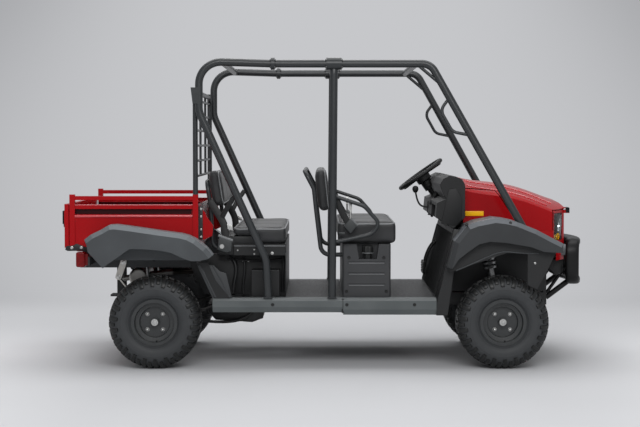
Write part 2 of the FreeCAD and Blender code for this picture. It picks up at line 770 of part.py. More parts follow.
def knuckle():
    """The right-hand knuckle: upright, strut clamp, drum, spindle, steering arm and ball pin."""
    foot, head = kingpin()
    axis = (head - foot).normalize()
    hub = V(FRONT_AXLE_X, -WHEEL_Y, TYRE_RADIUS)
    drum, spindle, back = hub_parts(hub)
    upright = rod(foot, at_height(foot, head, KNUCKLE_TOP_Z), KNUCKLE_RADIUS)
    mid = at_height(foot, head, hub.z)
    carrier = rod(V(hub.x, mid.y, hub.z), back, KNUCKLE_RADIUS)
    low, high = strut_line()
    clamp_run = (high - low).normalize() * CLAMP_LENGTH
    clamp = rod(low, low + clamp_run, CLAMP_RADIUS)
    root = at_height(foot, head, STEER_ARM_Z)
    inner = -STRUT_FOOT_HALF_WIDTH
    end = root.x - STEER_ARM_LENGTH
    arm = box(
        end - STEER_ARM_WIDTH / 2, root.x, inner - STEER_ARM_WIDTH, inner,
        STEER_ARM_Z, STEER_ARM_Z + STEER_ARM_THICKNESS,
    )
    web = box(
        root.x - STEER_ARM_WIDTH, root.x, root.y, inner, STEER_ARM_Z, STEER_ARM_Z + STEER_ARM_THICKNESS
    )
    pin = rod(foot, foot - axis * BALL_PIN_LENGTH, BALL_PIN_RADIUS)
    body = together([upright, carrier, drum, spindle, clamp, arm, web, pin])
    return body.cut(rod(low, high, STRUT_TUBE_RADIUS))


def strut():
    """The right-hand strut: tube and ribbed dust boot, turning with the knuckle."""
    low, high = strut_line()
    foot, head = kingpin()
    axis = (high - low).normalize()
    steer = (head - foot).normalize()
    pieces = [rod(low, high, STRUT_TUBE_RADIUS)]
    pitch = STRUT_BOOT_LENGTH / STRUT_BOOT_FOLDS
    start = high - axis * (STRUT_BOOT_LENGTH + STRUT_TUBE_RADIUS)
    inner, outer = STRUT_BOOT_RADIUS - STRUT_BOOT_FOLD_DEPTH, STRUT_BOOT_RADIUS
    for n in range(STRUT_BOOT_FOLDS):
        base = start + axis * (n * pitch)
        pieces.append(Part.makeCone(inner, outer, pitch / 2, base, axis))
        pieces.append(Part.makeCone(outer, inner, pitch / 2, base + axis * (pitch / 2), axis))
    trim = rod(head - steer * GAP, head + steer * OVERRUN, OVERRUN)
    return together(pieces).cut(trim)


def rack_centre():
    """The middle of the steering rack, over the lower cross-member."""
    foot, head = kingpin()
    x = at_height(foot, head, STEER_ARM_Z).x - STEER_ARM_LENGTH
    return V(x, 0, LOWER_CROSS_TOP + RACK_HOUSING_RADIUS)


def steering_rack():
    """The rack bar with its two tie rods, whose ends lie under the knuckles' arms."""
    middle = rack_centre()
    reach = STRUT_FOOT_HALF_WIDTH + STEER_ARM_WIDTH / 2
    bar = rod(middle - Y_AXIS * reach, middle + Y_AXIS * reach, RACK_RADIUS)
    ends = [
        rod(middle + Y_AXIS * (side * reach) - Z_AXIS * RACK_END_RADIUS,
            middle + Y_AXIS * (side * reach) + Z_AXIS * RACK_END_RADIUS, RACK_END_RADIUS)
        for side in (-1, 1)
    ]
    return together([bar] + ends)


def steering_wheel():
    """Rim, three spokes and a deep hub, square to the column."""
    ring = Part.makeTorus(STEER_RIM_RADIUS, STEER_GRIP_RADIUS)
    hub = Part.makeCylinder(STEER_HUB_RADIUS, STEER_HUB_LENGTH, V(0, 0, -STEER_HUB_LENGTH))
    hub = softened(hub, STEER_SPOKE_THICKNESS)
    pieces = [hub]
    for n in range(STEER_SPOKES):
        spoke = box(
            0, STEER_RIM_RADIUS, -STEER_SPOKE_WIDTH / 2, STEER_SPOKE_WIDTH / 2,
            -STEER_SPOKE_THICKNESS * 2, -STEER_SPOKE_THICKNESS,
        )
        dish = box(
            STEER_RIM_RADIUS - STEER_SPOKE_WIDTH, STEER_RIM_RADIUS, -STEER_SPOKE_WIDTH / 2,
            STEER_SPOKE_WIDTH / 2, -STEER_SPOKE_THICKNESS * 2, 0,
        )
        for piece in (spoke, dish):
            piece.rotate(ORIGIN, Z_AXIS, 90 + n * 360 / STEER_SPOKES)
            pieces.append(piece)
    wheel = together([ring] + pieces)
    wheel.rotate(ORIGIN, Y_AXIS, -STEER_TILT_DEG)
    wheel.translate(STEER_CENTRE)
    return wheel


def column_axis():
    """The unit vector from the driver's hands down the steering column."""
    tilt = math.radians(STEER_TILT_DEG)
    return V(math.sin(tilt), 0, -math.cos(tilt))


def steering_column():
    """The column's jacket and its switch housing, under the wheel's hub."""
    down = column_axis()
    top = STEER_CENTRE + down * (STEER_HUB_LENGTH + GAP)
    jacket = rod(top, top + down * COLUMN_LENGTH, COLUMN_RADIUS)
    switches = rod(top, top + down * COLUMN_SWITCH_LENGTH, COLUMN_SWITCH_RADIUS)
    stalk_root = top + down * (COLUMN_SWITCH_LENGTH / 2)
    stalk = rod(stalk_root, stalk_root - Y_AXIS * STALK_LENGTH, STALK_RADIUS)
    return together([jacket, switches, stalk])


def main_rails():
    """The two long rails under the floor, with cross-members and outriggers to the side beams."""
    front = RAIL_FRONT_X
    half = RAIL_WIDTH / 2
    low = FRAME_TOP - OUTRIGGER_HEIGHT
    pieces = []
    for side in (-1, 1):
        y = side * RAIL_CENTRE_Y
        pieces.append(box(RAIL_REAR_X, front, y - half, y + half, FRAME_BOTTOM, FRAME_TOP))
    for x in (RAIL_REAR_X, CAGE_FOOT_X, HOOP_X, FLOOR_FRONT_X - CROSS_WIDTH):
        pieces.append(box(x, x + CROSS_WIDTH, -SIDE_BEAM_Y, SIDE_BEAM_Y, low, FRAME_TOP))
    pieces.append(box(front - CROSS_WIDTH, front, -RAIL_CENTRE_Y, RAIL_CENTRE_Y, FRAME_BOTTOM, FRAME_TOP))
    for side in (-1, 1):
        y = sorted((side * SIDE_BEAM_Y, side * (SIDE_BEAM_Y - SIDE_BEAM_WIDTH)))
        pieces.append(box(SILL_REAR_X + SILL_INSET, LEG_REAR_X - SILL_INSET, y[0], y[1], low, FRAME_TOP))
    return pieces


def raised_rails():
    """Raised rails over the rear axle, their posts, and the brackets on their outer sides."""
    half = RAIL_WIDTH / 2
    pieces = []
    for side in (-1, 1):
        y = side * REAR_RAIL_CENTRE_Y
        pieces.append(box(REAR_RAIL_END_X, RAIL_REAR_X + CROSS_WIDTH, y - half, y + half,
                          REAR_RAIL_BOTTOM, REAR_RAIL_TOP))
        pieces.append(box(RAIL_REAR_X, RAIL_REAR_X + CROSS_WIDTH, y - half, y + half, FRAME_TOP,
                          REAR_RAIL_BOTTOM))
    for side in (-1, 1):
        y = sorted((side * REAR_RAIL_CENTRE_Y, side * REAR_FENDER_INNER_Y))
        for x in (FENDER_ARM_X, FENDER_ARM_X + FENDER_ARM_PITCH):
            pieces.append(box(x, x + CROSS_WIDTH, y[0], y[1], REAR_RAIL_TOP - BRACKET * 2, REAR_RAIL_TOP))
        y = sorted((side * REAR_RAIL_CENTRE_Y, side * (TAIL_LAMP_Y + TAIL_LAMP_WIDTH / 2)))
        x = TAIL_LAMP_X + TAIL_LAMP_DEPTH + TAIL_LAMP_BASE
        pieces.append(box(x, x + BRACKET, y[0], y[1], TAIL_LAMP_BOTTOM_Z + BRACKET, REAR_RAIL_TOP))
    return pieces


def cross_members():
    """Cross-members between the raised rails, with the dampers' upper brackets."""
    inner = REAR_RAIL_CENTRE_Y - RAIL_WIDTH / 2
    pieces = [box(x, x + CROSS_WIDTH, -inner, inner, REAR_RAIL_BOTTOM, REAR_RAIL_TOP) for x in REAR_CROSS_XS]
    for side in (-1, 1):
        y = sorted((side * DAMPER_Y, side * (DAMPER_Y - BRACKET)))
        pieces.append(box(REAR_CROSS_XS[1] + CROSS_WIDTH, DAMPER_TOP_X + BRACKET * 2, y[0], y[1],
                          REAR_RAIL_BOTTOM, REAR_RAIL_TOP))
    return pieces


def spring_hangers():
    """The four cheeks that hold the leaf springs' front eyes, under the frame's rear end."""
    half = RAIL_WIDTH / 2
    sides = [side * REAR_RAIL_CENTRE_Y for side in (-1, 1)]
    return [spring_hanger(y) for side in sides for y in (side - half - SHACKLE_THICKNESS, side + half)]


def spring_hanger(y):
    """One cheek that holds a leaf spring's front eye."""
    outline = [
        (RAIL_REAR_X + CROSS_WIDTH, FRAME_TOP),
        (SPRING_FRONT_X - SPRING_EYE_RADIUS, FRAME_TOP - SHACKLE_THICKNESS),
        (SPRING_FRONT_X - SPRING_EYE_RADIUS * 2, SPRING_FRONT_Z),
        (SPRING_FRONT_X, SPRING_FRONT_Z - SPRING_EYE_RADIUS * 2),
        (RAIL_REAR_X + CROSS_WIDTH, FRAME_TOP - OUTRIGGER_HEIGHT),
    ]
    return side_prism(outline, y, y + SHACKLE_THICKNESS)


def bed_lugs():
    """Lugs and pins that the cargo bed tilts on, at the rear ends of the raised rails."""
    pieces = []
    inner = REAR_RAIL_CENTRE_Y - RAIL_WIDTH / 2
    pivot = V(BED_PIVOT_X, 0, BED_PIVOT_Z)
    for side in (-1, 1):
        start = pivot + Y_AXIS * (side * inner)
        end = start + Y_AXIS * (side * BED_HINGE_PLATE)
        eye = rod(start, end, BED_HINGE_RADIUS)
        y = sorted((start.y, end.y))
        foot = box(pivot.x - BED_HINGE_RADIUS, pivot.x + BED_HINGE_RADIUS, y[0], y[1],
                   REAR_RAIL_TOP - BRACKET, pivot.z)
        pin = rod(start, start - Y_AXIS * (side * (BED_LONGERON_WIDTH + MOVING_GAP + GAP)), BED_PIN_RADIUS)
        pieces += [eye, foot, pin]
    return pieces


def hitch():
    """Two hangers and a drawbar plate with the hitch pin's hole, behind the axle."""
    x = REAR_CROSS_XS[2]
    hangers = []
    for side in (-1, 1):
        y = sorted((side * HITCH_PLATE_HALF_WIDTH, side * (HITCH_PLATE_HALF_WIDTH - HITCH_PLATE)))
        hangers.append(box(x, x + CROSS_WIDTH, y[0], y[1], HITCH_Z, REAR_RAIL_BOTTOM + BRACKET))
    tongue = box(x - HITCH_REACH / 2, x + HITCH_REACH, -HITCH_PLATE_HALF_WIDTH, HITCH_PLATE_HALF_WIDTH,
                 HITCH_Z, HITCH_Z + HITCH_PLATE)
    hole = rod(hitch_pin() - Z_AXIS * OVERRUN, hitch_pin() + Z_AXIS * OVERRUN, HITCH_HOLE_RADIUS)
    return hangers + [tongue.cut(hole)]


def hitch_pin():
    """The middle of the hitch pin's hole."""
    return V(REAR_CROSS_XS[2] - HITCH_REACH / 4, 0, HITCH_Z + HITCH_PLATE / 2)


def front_subframe():
    """Strut towers and the cage's front foot beam, on the frame's rails."""
    foot, head = kingpin()
    inner = RAIL_CENTRE_Y + RAIL_WIDTH / 2
    outer = head.y - TOWER_WIDTH
    pieces = []
    for side in (-1, 1):
        y = sorted((side * (inner - TOWER_WIDTH), side * inner))
        pieces.append(box(head.x - TOWER_WIDTH / 2, head.x + TOWER_WIDTH / 2, y[0], y[1], FRAME_TOP,
                          tower_top() + TOWER_PLATE))
        pieces.append(box(POST_FOOT_X - CROSS_WIDTH / 2, POST_FOOT_X + CROSS_WIDTH / 2, y[0], y[1],
                          FRAME_TOP, FOOT_BEAM_TOP))
        y = sorted((side * (inner - TOWER_WIDTH), -side * outer))
        pieces.append(box(head.x - TOWER_WIDTH, head.x + TOWER_WIDTH, y[0], y[1], tower_top(),
                          tower_top() + TOWER_PLATE))
        cup = rod(head, head + (head - foot).normalize() * OVERRUN, STRUT_BOOT_RADIUS)
        trim = box(head.x - OVERRUN * 2, head.x + OVERRUN * 2, head.y - OVERRUN * 2, head.y + OVERRUN * 2,
                   tower_top() + TOWER_PLATE / 2, tower_top() + OVERRUN * 2)
        cup = cup.cut(trim)
        pieces.append(cup if side < 0 else flipped(cup))
    pieces.append(box(POST_FOOT_X - CROSS_WIDTH / 2, POST_FOOT_X + CROSS_WIDTH / 2, -FOOT_BEAM_HALF_LENGTH,
                      FOOT_BEAM_HALF_LENGTH, FOOT_BEAM_TOP - FOOT_BEAM_HEIGHT, FOOT_BEAM_TOP))
    top = tower_top() + TOWER_PLATE
    pieces.append(box(head.x - TOWER_WIDTH / 2, head.x + TOWER_WIDTH / 2, TOWER_WIDTH - inner,
                      inner - TOWER_WIDTH, top - TOWER_WIDTH, top))
    return together(pieces)


def nose_arms():
    """Posts on the rails' front ends, with arms forward to the painted nose."""
    rear = RAIL_FRONT_X - NOSE_POST
    low = BODY_BOTTOM_Z + MOVING_GAP
    pieces = []
    for side in (-1, 1):
        y = sorted((side * (RAIL_CENTRE_Y - NOSE_POST), side * (RAIL_CENTRE_Y + NOSE_POST)))
        pieces.append(box(rear, rear + NOSE_POST, y[0], y[1], FRAME_TOP, low + NOSE_POST))
        arm = box(rear, BODY_FRONT_X, y[0], y[1], low, low + NOSE_POST)
        pieces.append(arm.common(body_solid(PANEL)))
    return pieces


def tower_top():
    """The height of the strut towers' plates, over the strut's mount."""
    return STRUT_TOP_Z + MOUNT_HEIGHT


def lower_cross():
    """The low cross-member that carries the front arms and the rack."""
    half = LOWER_CROSS_HALF_WIDTH
    rear = rack_centre().x - LOWER_CROSS_LEDGE
    front = FRONT_AXLE_X + ARM_SPREAD / 2 + ARM_TUBE_RADIUS * 2
    low = LOWER_CROSS_TOP - LOWER_CROSS_HEIGHT
    pieces = [box(rear, front, -half, half, low, LOWER_CROSS_TOP)]
    for x in (rear + LOWER_CROSS_LEDGE * 2, front - LOWER_CROSS_LEDGE):
        for side in (-1, 1):
            y = sorted((side * half, side * (half + LOWER_CROSS_LEG)))
            leg = [(y[0], low), (y[1], low), (y[1], FRAME_BOTTOM), (y[0], FRAME_BOTTOM)]
            pieces.append(section_prism(leg, x, x + LOWER_CROSS_LEDGE))
    return pieces


def frame():
    """The welded lower frame: rails, outriggers, hangers, the low cross-member and the nose's arms."""
    return together(main_rails() + spring_hangers() + lower_cross() + nose_arms())


def rear_subframe():
    """The raised rails over the rear axle, with their brackets and the bed's lugs."""
    return together(raised_rails() + bed_lugs())


def rear_crosses():
    """The cross-members between the raised rails, with the hitch under the third of them."""
    return together(cross_members() + hitch())


def front_arm():
    """The right-hand lower arm: a V of tubes from the low cross-member to the ball pin's ring."""
    foot, head = kingpin()
    steer = (head - foot).normalize()
    top = foot - steer * GAP
    ring = rod(top, top - steer * ARM_EYE_HEIGHT, ARM_EYE_RADIUS)
    eye = top - steer * (ARM_EYE_HEIGHT / 2)
    half = LOWER_CROSS_HALF_WIDTH + LOWER_CROSS_LEG
    tubes = []
    for side in (-1, 1):
        pivot = V(FRONT_AXLE_X + side * ARM_SPREAD / 2, -half, LOWER_CROSS_TOP - LOWER_CROSS_HEIGHT / 2)
        tubes.append(rod(pivot, eye, ARM_TUBE_RADIUS))
    bore = rod(foot, foot - steer * OVERRUN, BALL_PIN_RADIUS + BALL_PIN_CLEARANCE)
    wall = box(FRONT_AXLE_X - ARM_SPREAD, FRONT_AXLE_X + ARM_SPREAD, -half, half, 0, STRUT_TOP_Z)
    swing = rod(top, top + steer * OVERRUN, KNUCKLE_RADIUS + MOVING_GAP)
    return together([ring] + tubes).cut([bore, wall, swing])


def rack_housing():
    """The rack's tube on two clamps over the low cross-member."""
    middle = rack_centre()
    half = RACK_HOUSING_HALF_LENGTH
    tube = rod(middle - Y_AXIS * half, middle + Y_AXIS * half, RACK_HOUSING_RADIUS)
    pinion = rod(middle + Y_AXIS * (half / 2), middle + Y_AXIS * (half / 2) + Z_AXIS * PINION_HEIGHT,
                 RACK_HOUSING_RADIUS)
    pieces = [tube, pinion]
    for side in (-1, 1):
        y = middle.y + side * half * RACK_CLAMP_SHARE
        pieces.append(box(middle.x - RACK_HOUSING_RADIUS, middle.x + RACK_HOUSING_RADIUS,
                          y - RACK_END_RADIUS, y + RACK_END_RADIUS, LOWER_CROSS_TOP, middle.z))
    bore = rod(middle - Y_AXIS * (half * 2), middle + Y_AXIS * (half * 2), RACK_RADIUS + RACK_CLEARANCE)
    return together(pieces).cut(bore)


def floor_pan():
    """The flat floor from the rear seat's kick panel to the toe board."""
    return box(FLOOR_REAR_X, FLOOR_FRONT_X, -SILL_INNER_Y, SILL_INNER_Y, FRAME_TOP, FLOOR_TOP)


def toe_board():
    """The steep panel ahead of the front footwell."""
    line = [(TOE_TOP_X, TOE_TOP_Z), (FLOOR_FRONT_X, FLOOR_TOP)]
    return side_prism(strip(line, PANEL), -TOE_HALF_WIDTH, TOE_HALF_WIDTH)


def floor():
    """The floor pan and the toe board, two panels that meet ahead of the front footwell."""
    return Part.makeCompound([floor_pan(), toe_board()])


def sill(x0, x1, bottom):
    """A length of the right-hand sill: a moulded channel over the frame's side beam."""
    outer_y, inner_y = SILL_HALF_WIDTH, SILL_INNER_Y
    line = [
        (-inner_y, FLOOR_TOP),
        (SILL_CHAMFER - outer_y, FLOOR_TOP),
        (-outer_y, FLOOR_TOP - SILL_CHAMFER),
        (-outer_y, bottom + SILL_CHAMFER_RISE),
        (SILL_CHAMFER - outer_y, bottom),
        (SILL_CHAMFER + SILL_LIP - outer_y, bottom),
    ]
    return section_prism(strip(line, PANEL), x0, x1)


def side_sills():
    """Both sills, each in two lengths with an open seam."""
    half = SILL_SEAM / 2
    rear = sill(SILL_REAR_X, SILL_SEAM_X - half, SILL_REAR_BOTTOM)
    front = sill(SILL_SEAM_X + half, LEG_REAR_X, SILL_FRONT_BOTTOM)
    return Part.makeCompound([rear, front, flipped(rear), flipped(front)])


def cage_flange(point, ahead):
    """A bolted flange disc that starts at a point and runs in a direction, with its bolt heads."""
    disc = rod(point, point + ahead * CAGE_FLANGE_THICKNESS, CAGE_FLANGE_RADIUS)
    reach = (CAGE_FLANGE_RADIUS + CAGE_TUBE) / 2
    pieces = [disc]
    for n in range(CAGE_FLANGE_BOLTS):
        angle = math.pi / CAGE_FLANGE_BOLTS + n * 2 * math.pi / CAGE_FLANGE_BOLTS
        seat = point + V(0, math.cos(angle), math.sin(angle)) * reach
        pieces.append(rod(seat, seat + ahead * (CAGE_FLANGE_THICKNESS + CAGE_FLANGE_BOLT_RADIUS),
                          CAGE_FLANGE_BOLT_RADIUS))
    return together(pieces)


def cage_foot(point):
    """A square foot plate whose underside is at the point."""
    half = CAGE_FOOT_PLATE_SIZE / 2
    return box(point.x - half, point.x + half, point.y - half, point.y + half, point.z,
               point.z + CAGE_FOOT_PLATE)


def roll_cage_rear():
    """The rear half-frame: two bent legs from the roof joints to the sills, with a cross tube."""
    y = -CAGE_HALF_WIDTH
    path = [
        V(CAGE_REAR_JOINT_X, y, CAGE_TOP_Z),
        V(CAGE_REAR_X, y, CAGE_TOP_Z + CAGE_REAR_RISE),
        V(CAGE_REAR_X, y, CAGE_KNEE_Z),
        V(CAGE_ELBOW_X, y, CAGE_ELBOW_Z),
        V(CAGE_FOOT_X, y, FLOOR_TOP + CAGE_FOOT_PLATE),
    ]
    leg = bent_tube(path, CAGE_TUBE, CAGE_REAR_BEND)
    flange = cage_flange(path[0], -X_AXIS)
    foot = cage_foot(V(CAGE_FOOT_X, y, FLOOR_TOP))
    plate = screen_plate()
    beyond = box(CAGE_REAR_JOINT_X, CAGE_REAR_JOINT_X + OVERRUN, -CAGE_HALF_WIDTH - OVERRUN,
                 OVERRUN - CAGE_HALF_WIDTH, CAGE_TOP_Z - OVERRUN, CAGE_TOP_Z + OVERRUN)
    side = together([leg, flange, foot, plate]).cut(beyond)
    cross_x = CAGE_REAR_X + CAGE_REAR_BEND
    cross = rod(V(cross_x, -CAGE_HALF_WIDTH, CAGE_TOP_Z + CAGE_REAR_RISE / 2),
                V(cross_x, CAGE_HALF_WIDTH, CAGE_TOP_Z + CAGE_REAR_RISE / 2), CAGE_CROSS_RADIUS)
    return together([side, flipped(side), cross])


def screen_plate():
    """A tapered gusset plate on the outside of the cage's rear leg."""
    rear = CAGE_REAR_X - CAGE_PLATE_DEPTH + CAGE_TUBE / 2
    front = CAGE_REAR_X + CAGE_TUBE / 2
    outline = [
        (rear, CAGE_PLATE_TOP_Z),
        (rear + CAGE_TUBE / 2, CAGE_PLATE_TOP_Z - CAGE_PLATE_HEIGHT),
        (front, CAGE_PLATE_TOP_Z - CAGE_PLATE_HEIGHT),
        (front, CAGE_PLATE_TOP_Z),
    ]
    outer = -(CAGE_HALF_WIDTH + CAGE_TUBE)
    return side_prism(outline, outer, outer + CAGE_TUBE / 2)


def hoop_stub():
    """The distance from the hoop's middle to the joints with the roof rails."""
    return CAGE_TUBE + CAGE_FLANGE_THICKNESS


def roof_rails():
    """The two rails between the rear half-frame and the centre hoop."""
    start = V(CAGE_REAR_JOINT_X, -CAGE_HALF_WIDTH, CAGE_TOP_Z)
    end = V(HOOP_X - hoop_stub(), -CAGE_HALF_WIDTH, CAGE_TOP_Z)
    rail = together([rod(start, end, CAGE_TUBE), cage_flange(start, X_AXIS), cage_flange(end, -X_AXIS)])
    return pair(rail)


def centre_hoop():
    """The hoop between the benches, with a stub at each roof joint."""
    y = CAGE_HALF_WIDTH
    foot = FLOOR_TOP + CAGE_FOOT_PLATE
    path = [
        V(HOOP_X - HOOP_LEAN, -y, foot),
        V(HOOP_X, -y, CAGE_TOP_Z),
        V(HOOP_X, y, CAGE_TOP_Z),
        V(HOOP_X - HOOP_LEAN, y, foot),
    ]
    pieces = [bent_tube(path, CAGE_TUBE, HOOP_BEND)]
    for side in (-1, 1):
        pieces.append(cage_foot(V(HOOP_X - HOOP_LEAN, side * y, FLOOR_TOP)))
        middle = V(HOOP_X, side * y, CAGE_TOP_Z)
        for ahead in (-1, 1):
            pieces.append(rod(middle, middle + X_AXIS * (ahead * hoop_stub()), CAGE_FLANGE_RADIUS))
    return together(pieces)


def post_line():
    """The top corner, foot and direction of the right-hand front post."""
    top = V(POST_TOP_X, -CAGE_HALF_WIDTH, CAGE_TOP_Z)
    low = V(POST_FOOT_X, -POST_FOOT_HALF_WIDTH, FOOT_BEAM_TOP + CAGE_FOOT_PLATE)
    return top, low, (low - top).normalize()


def grab_handle():
    """The bent hand grip on the inside of the right-hand front post."""
    top, low, down = post_line()
    rearward = V(down.z, 0, -down.x).normalize()
    start = top + down * (GRAB_TOP_DROP + CAGE_TUBE)
    end = start + down * GRAB_LENGTH
    path = [
        start,
        *[start + down * (GRAB_LENGTH * share) + rearward * GRAB_DEPTH for share in GRAB_BEND_SHARES],
        end,
    ]
    return bent_tube(path, GRAB_RADIUS, GRAB_BEND)


def roll_cage_front():
    """Front roof rails and slanted posts, with braces, hand grips and a cross tube."""
    top, low, down = post_line()
    start = V(HOOP_X + hoop_stub(), -CAGE_HALF_WIDTH, CAGE_TOP_Z)
    tube = bent_tube([start, top, low], CAGE_TUBE, POST_BEND)
    brace = rod(top - X_AXIS * BRACE_ROOF_SETBACK, top + down * (BRACE_POST_DROP + CAGE_TUBE), BRACE_RADIUS)
    foot = low - Z_AXIS * CAGE_FOOT_PLATE
    under = box(foot.x - OVERRUN, foot.x + OVERRUN, foot.y - OVERRUN, foot.y + OVERRUN,
                foot.z - OVERRUN, foot.z)
    side = together([tube, cage_flange(start, X_AXIS), cage_foot(foot), brace, grab_handle()]).cut(under)
    reach = top - X_AXIS * BRACE_ROOF_SETBACK
    cross = rod(reach, V(reach.x, -reach.y, reach.z), CAGE_CROSS_RADIUS)
    return together([side, flipped(side), cross])


def hip_guard():
    """The right-hand tube loop beside the front bench, from the hoop round to its foot."""
    y = -GUARD_HALF_WIDTH
    start = V(HOOP_X - HOOP_LEAN / 2 + CAGE_TUBE * GUARD_ROOT_SHARE, y, GUARD_TOP_Z)
    path = [
        start,
        V(GUARD_FRONT_X - GUARD_RADIUS, y, GUARD_BEND_Z + GUARD_TUBE),
        V(GUARD_FRONT_X, y, GUARD_BEND_Z - GUARD_RADIUS),
        V(GUARD_FRONT_X - GUARD_RADIUS / 2, y, GUARD_LOW_Z + GUARD_RADIUS / 2),
        V(start.x, y, GUARD_LOW_Z),
    ]
    return bent_tube(path, GUARD_TUBE, GUARD_RADIUS).cut(centre_hoop())


def seat_base_front():
    """The moulded box under the front bench, hollow from below, with a filler recess each side."""
    x0, x1, y1 = FRONT_BASE_REAR_X, FRONT_BASE_FRONT_X, FRONT_BASE_HALF_WIDTH
    outer = box(x0, x1, -y1, y1, FLOOR_TOP, FRONT_BASE_TOP)
    outer = softened(outer, BASE_CORNER, lambda e: abs(e.tangentAt(e.FirstParameter).z) > STRAIGHT_SHARE)
    inner = box(x0 + PANEL, x1 - PANEL, PANEL - y1, y1 - PANEL, FLOOR_TOP - OVERRUN,
                FRONT_BASE_TOP - PANEL)
    recess = filler_recess(0)
    wall = filler_recess(PANEL)
    outer = outer.cut([recess, flipped(recess)])
    inner = inner.cut([wall, flipped(wall)])
    grooves = []
    rear = x0 + (x1 - x0 - BASE_RIB_LENGTH) / 2
    for n in range(BASE_RIBS):
        top = BASE_RIB_TOP - n * BASE_RIB_PITCH
        groove = box(rear, rear + BASE_RIB_LENGTH, -y1 - OVERRUN, BASE_RIB_DEPTH - y1,
                     top - BASE_RIB_HEIGHT, top)
        grooves += [groove, flipped(groove)]
    return outer.cut([inner] + grooves)


def filler_recess(grow):
    """The right-hand filler recess in the seat box, grown outwards by an amount."""
    rear = FRONT_BASE_REAR_X + BASE_NOTCH_REAR - grow
    front = rear + BASE_NOTCH_LENGTH + grow * 2
    low = FRONT_BASE_TOP - BASE_NOTCH_HEIGHT - grow
    outline = [
        (rear, FRONT_BASE_TOP + OVERRUN),
        (rear, FRONT_BASE_TOP),
        (rear + BASE_CORNER, low),
        (front - BASE_CORNER, low),
        (front, FRONT_BASE_TOP),
        (front, FRONT_BASE_TOP + OVERRUN),
    ]
    outer = -FRONT_BASE_HALF_WIDTH
    return side_prism(outline, outer - OVERRUN, outer + BASE_NOTCH_DEPTH + grow)


def fuel_cap():
    """The filler cap with its neck, on the recess floor."""
    x = FRONT_BASE_REAR_X + BASE_NOTCH_REAR + BASE_NOTCH_LENGTH / 2
    floor_z = FRONT_BASE_TOP - BASE_NOTCH_HEIGHT
    seat = V(x, BASE_NOTCH_DEPTH / 2 - FRONT_BASE_HALF_WIDTH, floor_z)
    neck = rod(seat, seat + Z_AXIS * (CAP_HEIGHT / 2), CAP_RADIUS * CAP_NECK_SHARE)
    cap = rod(seat + Z_AXIS * (CAP_HEIGHT / 2), seat + Z_AXIS * CAP_HEIGHT, CAP_RADIUS)
    return together([neck, cap])


def cushion(x0, x1, z0, thickness):
    """A plain rounded bench cushion."""
    block = box(x0, x1, -CUSHION_HALF_WIDTH, CUSHION_HALF_WIDTH, z0, z0 + thickness)
    return softened(block, CUSHION_ROUND)


def back_pad(x, z, thickness, height, lean):
    """A plain rounded backrest, leaning back about its foot."""
    pad = box(-thickness / 2, thickness / 2, -BACK_HALF_WIDTH, BACK_HALF_WIDTH, 0, height)
    pad = softened(pad, BACK_ROUND)
    pad.rotate(ORIGIN, Y_AXIS, -lean)
    pad.translate(V(x, 0, z))
    return pad


def on_back(x, z, lean, ahead, up):
    """A point of a backrest, given ahead of and above its foot along its own axes."""
    angle = math.radians(lean)
    return V(x + ahead * math.cos(angle) - up * math.sin(angle), 0,
             z + ahead * math.sin(angle) + up * math.cos(angle))


def across(points, y):
    """The same points at another y."""
    return [V(p.x, y, p.z) for p in points]


def front_seat_frame():
    """A bent tube from the seat box up behind the backrest, which ends in the rear hand rail."""
    behind = -(BACK_THICKNESS / 2 + SEAT_TUBE + GAP)
    low = on_back(FRONT_BACK_X, FRONT_BACK_Z, BACK_LEAN_DEG, behind, BACK_ROUND)
    high = on_back(FRONT_BACK_X, FRONT_BACK_Z, BACK_LEAN_DEG, behind, BACK_HEIGHT * FRONT_FRAME_TOP_SHARE)
    foot_z = FRONT_BASE_TOP - CUSHION_THICKNESS / 2
    side = [
        V(FRONT_BASE_REAR_X, 0, foot_z),
        V(low.x + CUSHION_ROUND, 0, foot_z),
        low,
        high,
        V(HANDRAIL_X, 0, HANDRAIL_Z),
    ]
    path = across(side, -SEAT_FRAME_HALF_WIDTH) + across(reversed(side), SEAT_FRAME_HALF_WIDTH)
    return bent_tube(path, SEAT_TUBE, HANDRAIL_BEND)


def rear_seat_frame():
    """A bent tube from the rear seat tray up behind the rear backrest."""
    behind = -(REAR_BACK_THICKNESS / 2 + SEAT_TUBE + GAP)
    low = on_back(REAR_BACK_X, REAR_BACK_Z, REAR_BACK_LEAN_DEG, behind, BACK_ROUND)
    high = on_back(REAR_BACK_X, REAR_BACK_Z, REAR_BACK_LEAN_DEG, behind,
                   REAR_BACK_HEIGHT * REAR_FRAME_TOP_SHARE)
    foot_z = (REAR_TRAY_BOTTOM + REAR_BASE_TOP) / 2
    side = [
        V(RAIL_REAR_X - GAP, 0, foot_z),
        V(low.x + SEAT_TUBE, 0, foot_z),
        low,
        high,
    ]
    path = across(side, -SEAT_FRAME_HALF_WIDTH) + across(reversed(side), SEAT_FRAME_HALF_WIDTH)
    return bent_tube(path, SEAT_TUBE, HANDRAIL_BEND)


def seat_base_rear():
    """The rear bench's tray on the raised rails, with the kick panel down to the floor."""
    y1 = REAR_BASE_HALF_WIDTH
    outer = box(RAIL_REAR_X, FLOOR_REAR_X, -y1, y1, REAR_TRAY_BOTTOM, REAR_BASE_TOP)
    inner = box(RAIL_REAR_X + PANEL, FLOOR_REAR_X - PANEL, PANEL - y1, y1 - PANEL,
                REAR_TRAY_BOTTOM - OVERRUN, REAR_BASE_TOP - PANEL)
    kick = box(FLOOR_REAR_X - PANEL, FLOOR_REAR_X, -y1, y1, FLOOR_TOP, REAR_TRAY_BOTTOM)
    return together([outer.cut(inner), kick])


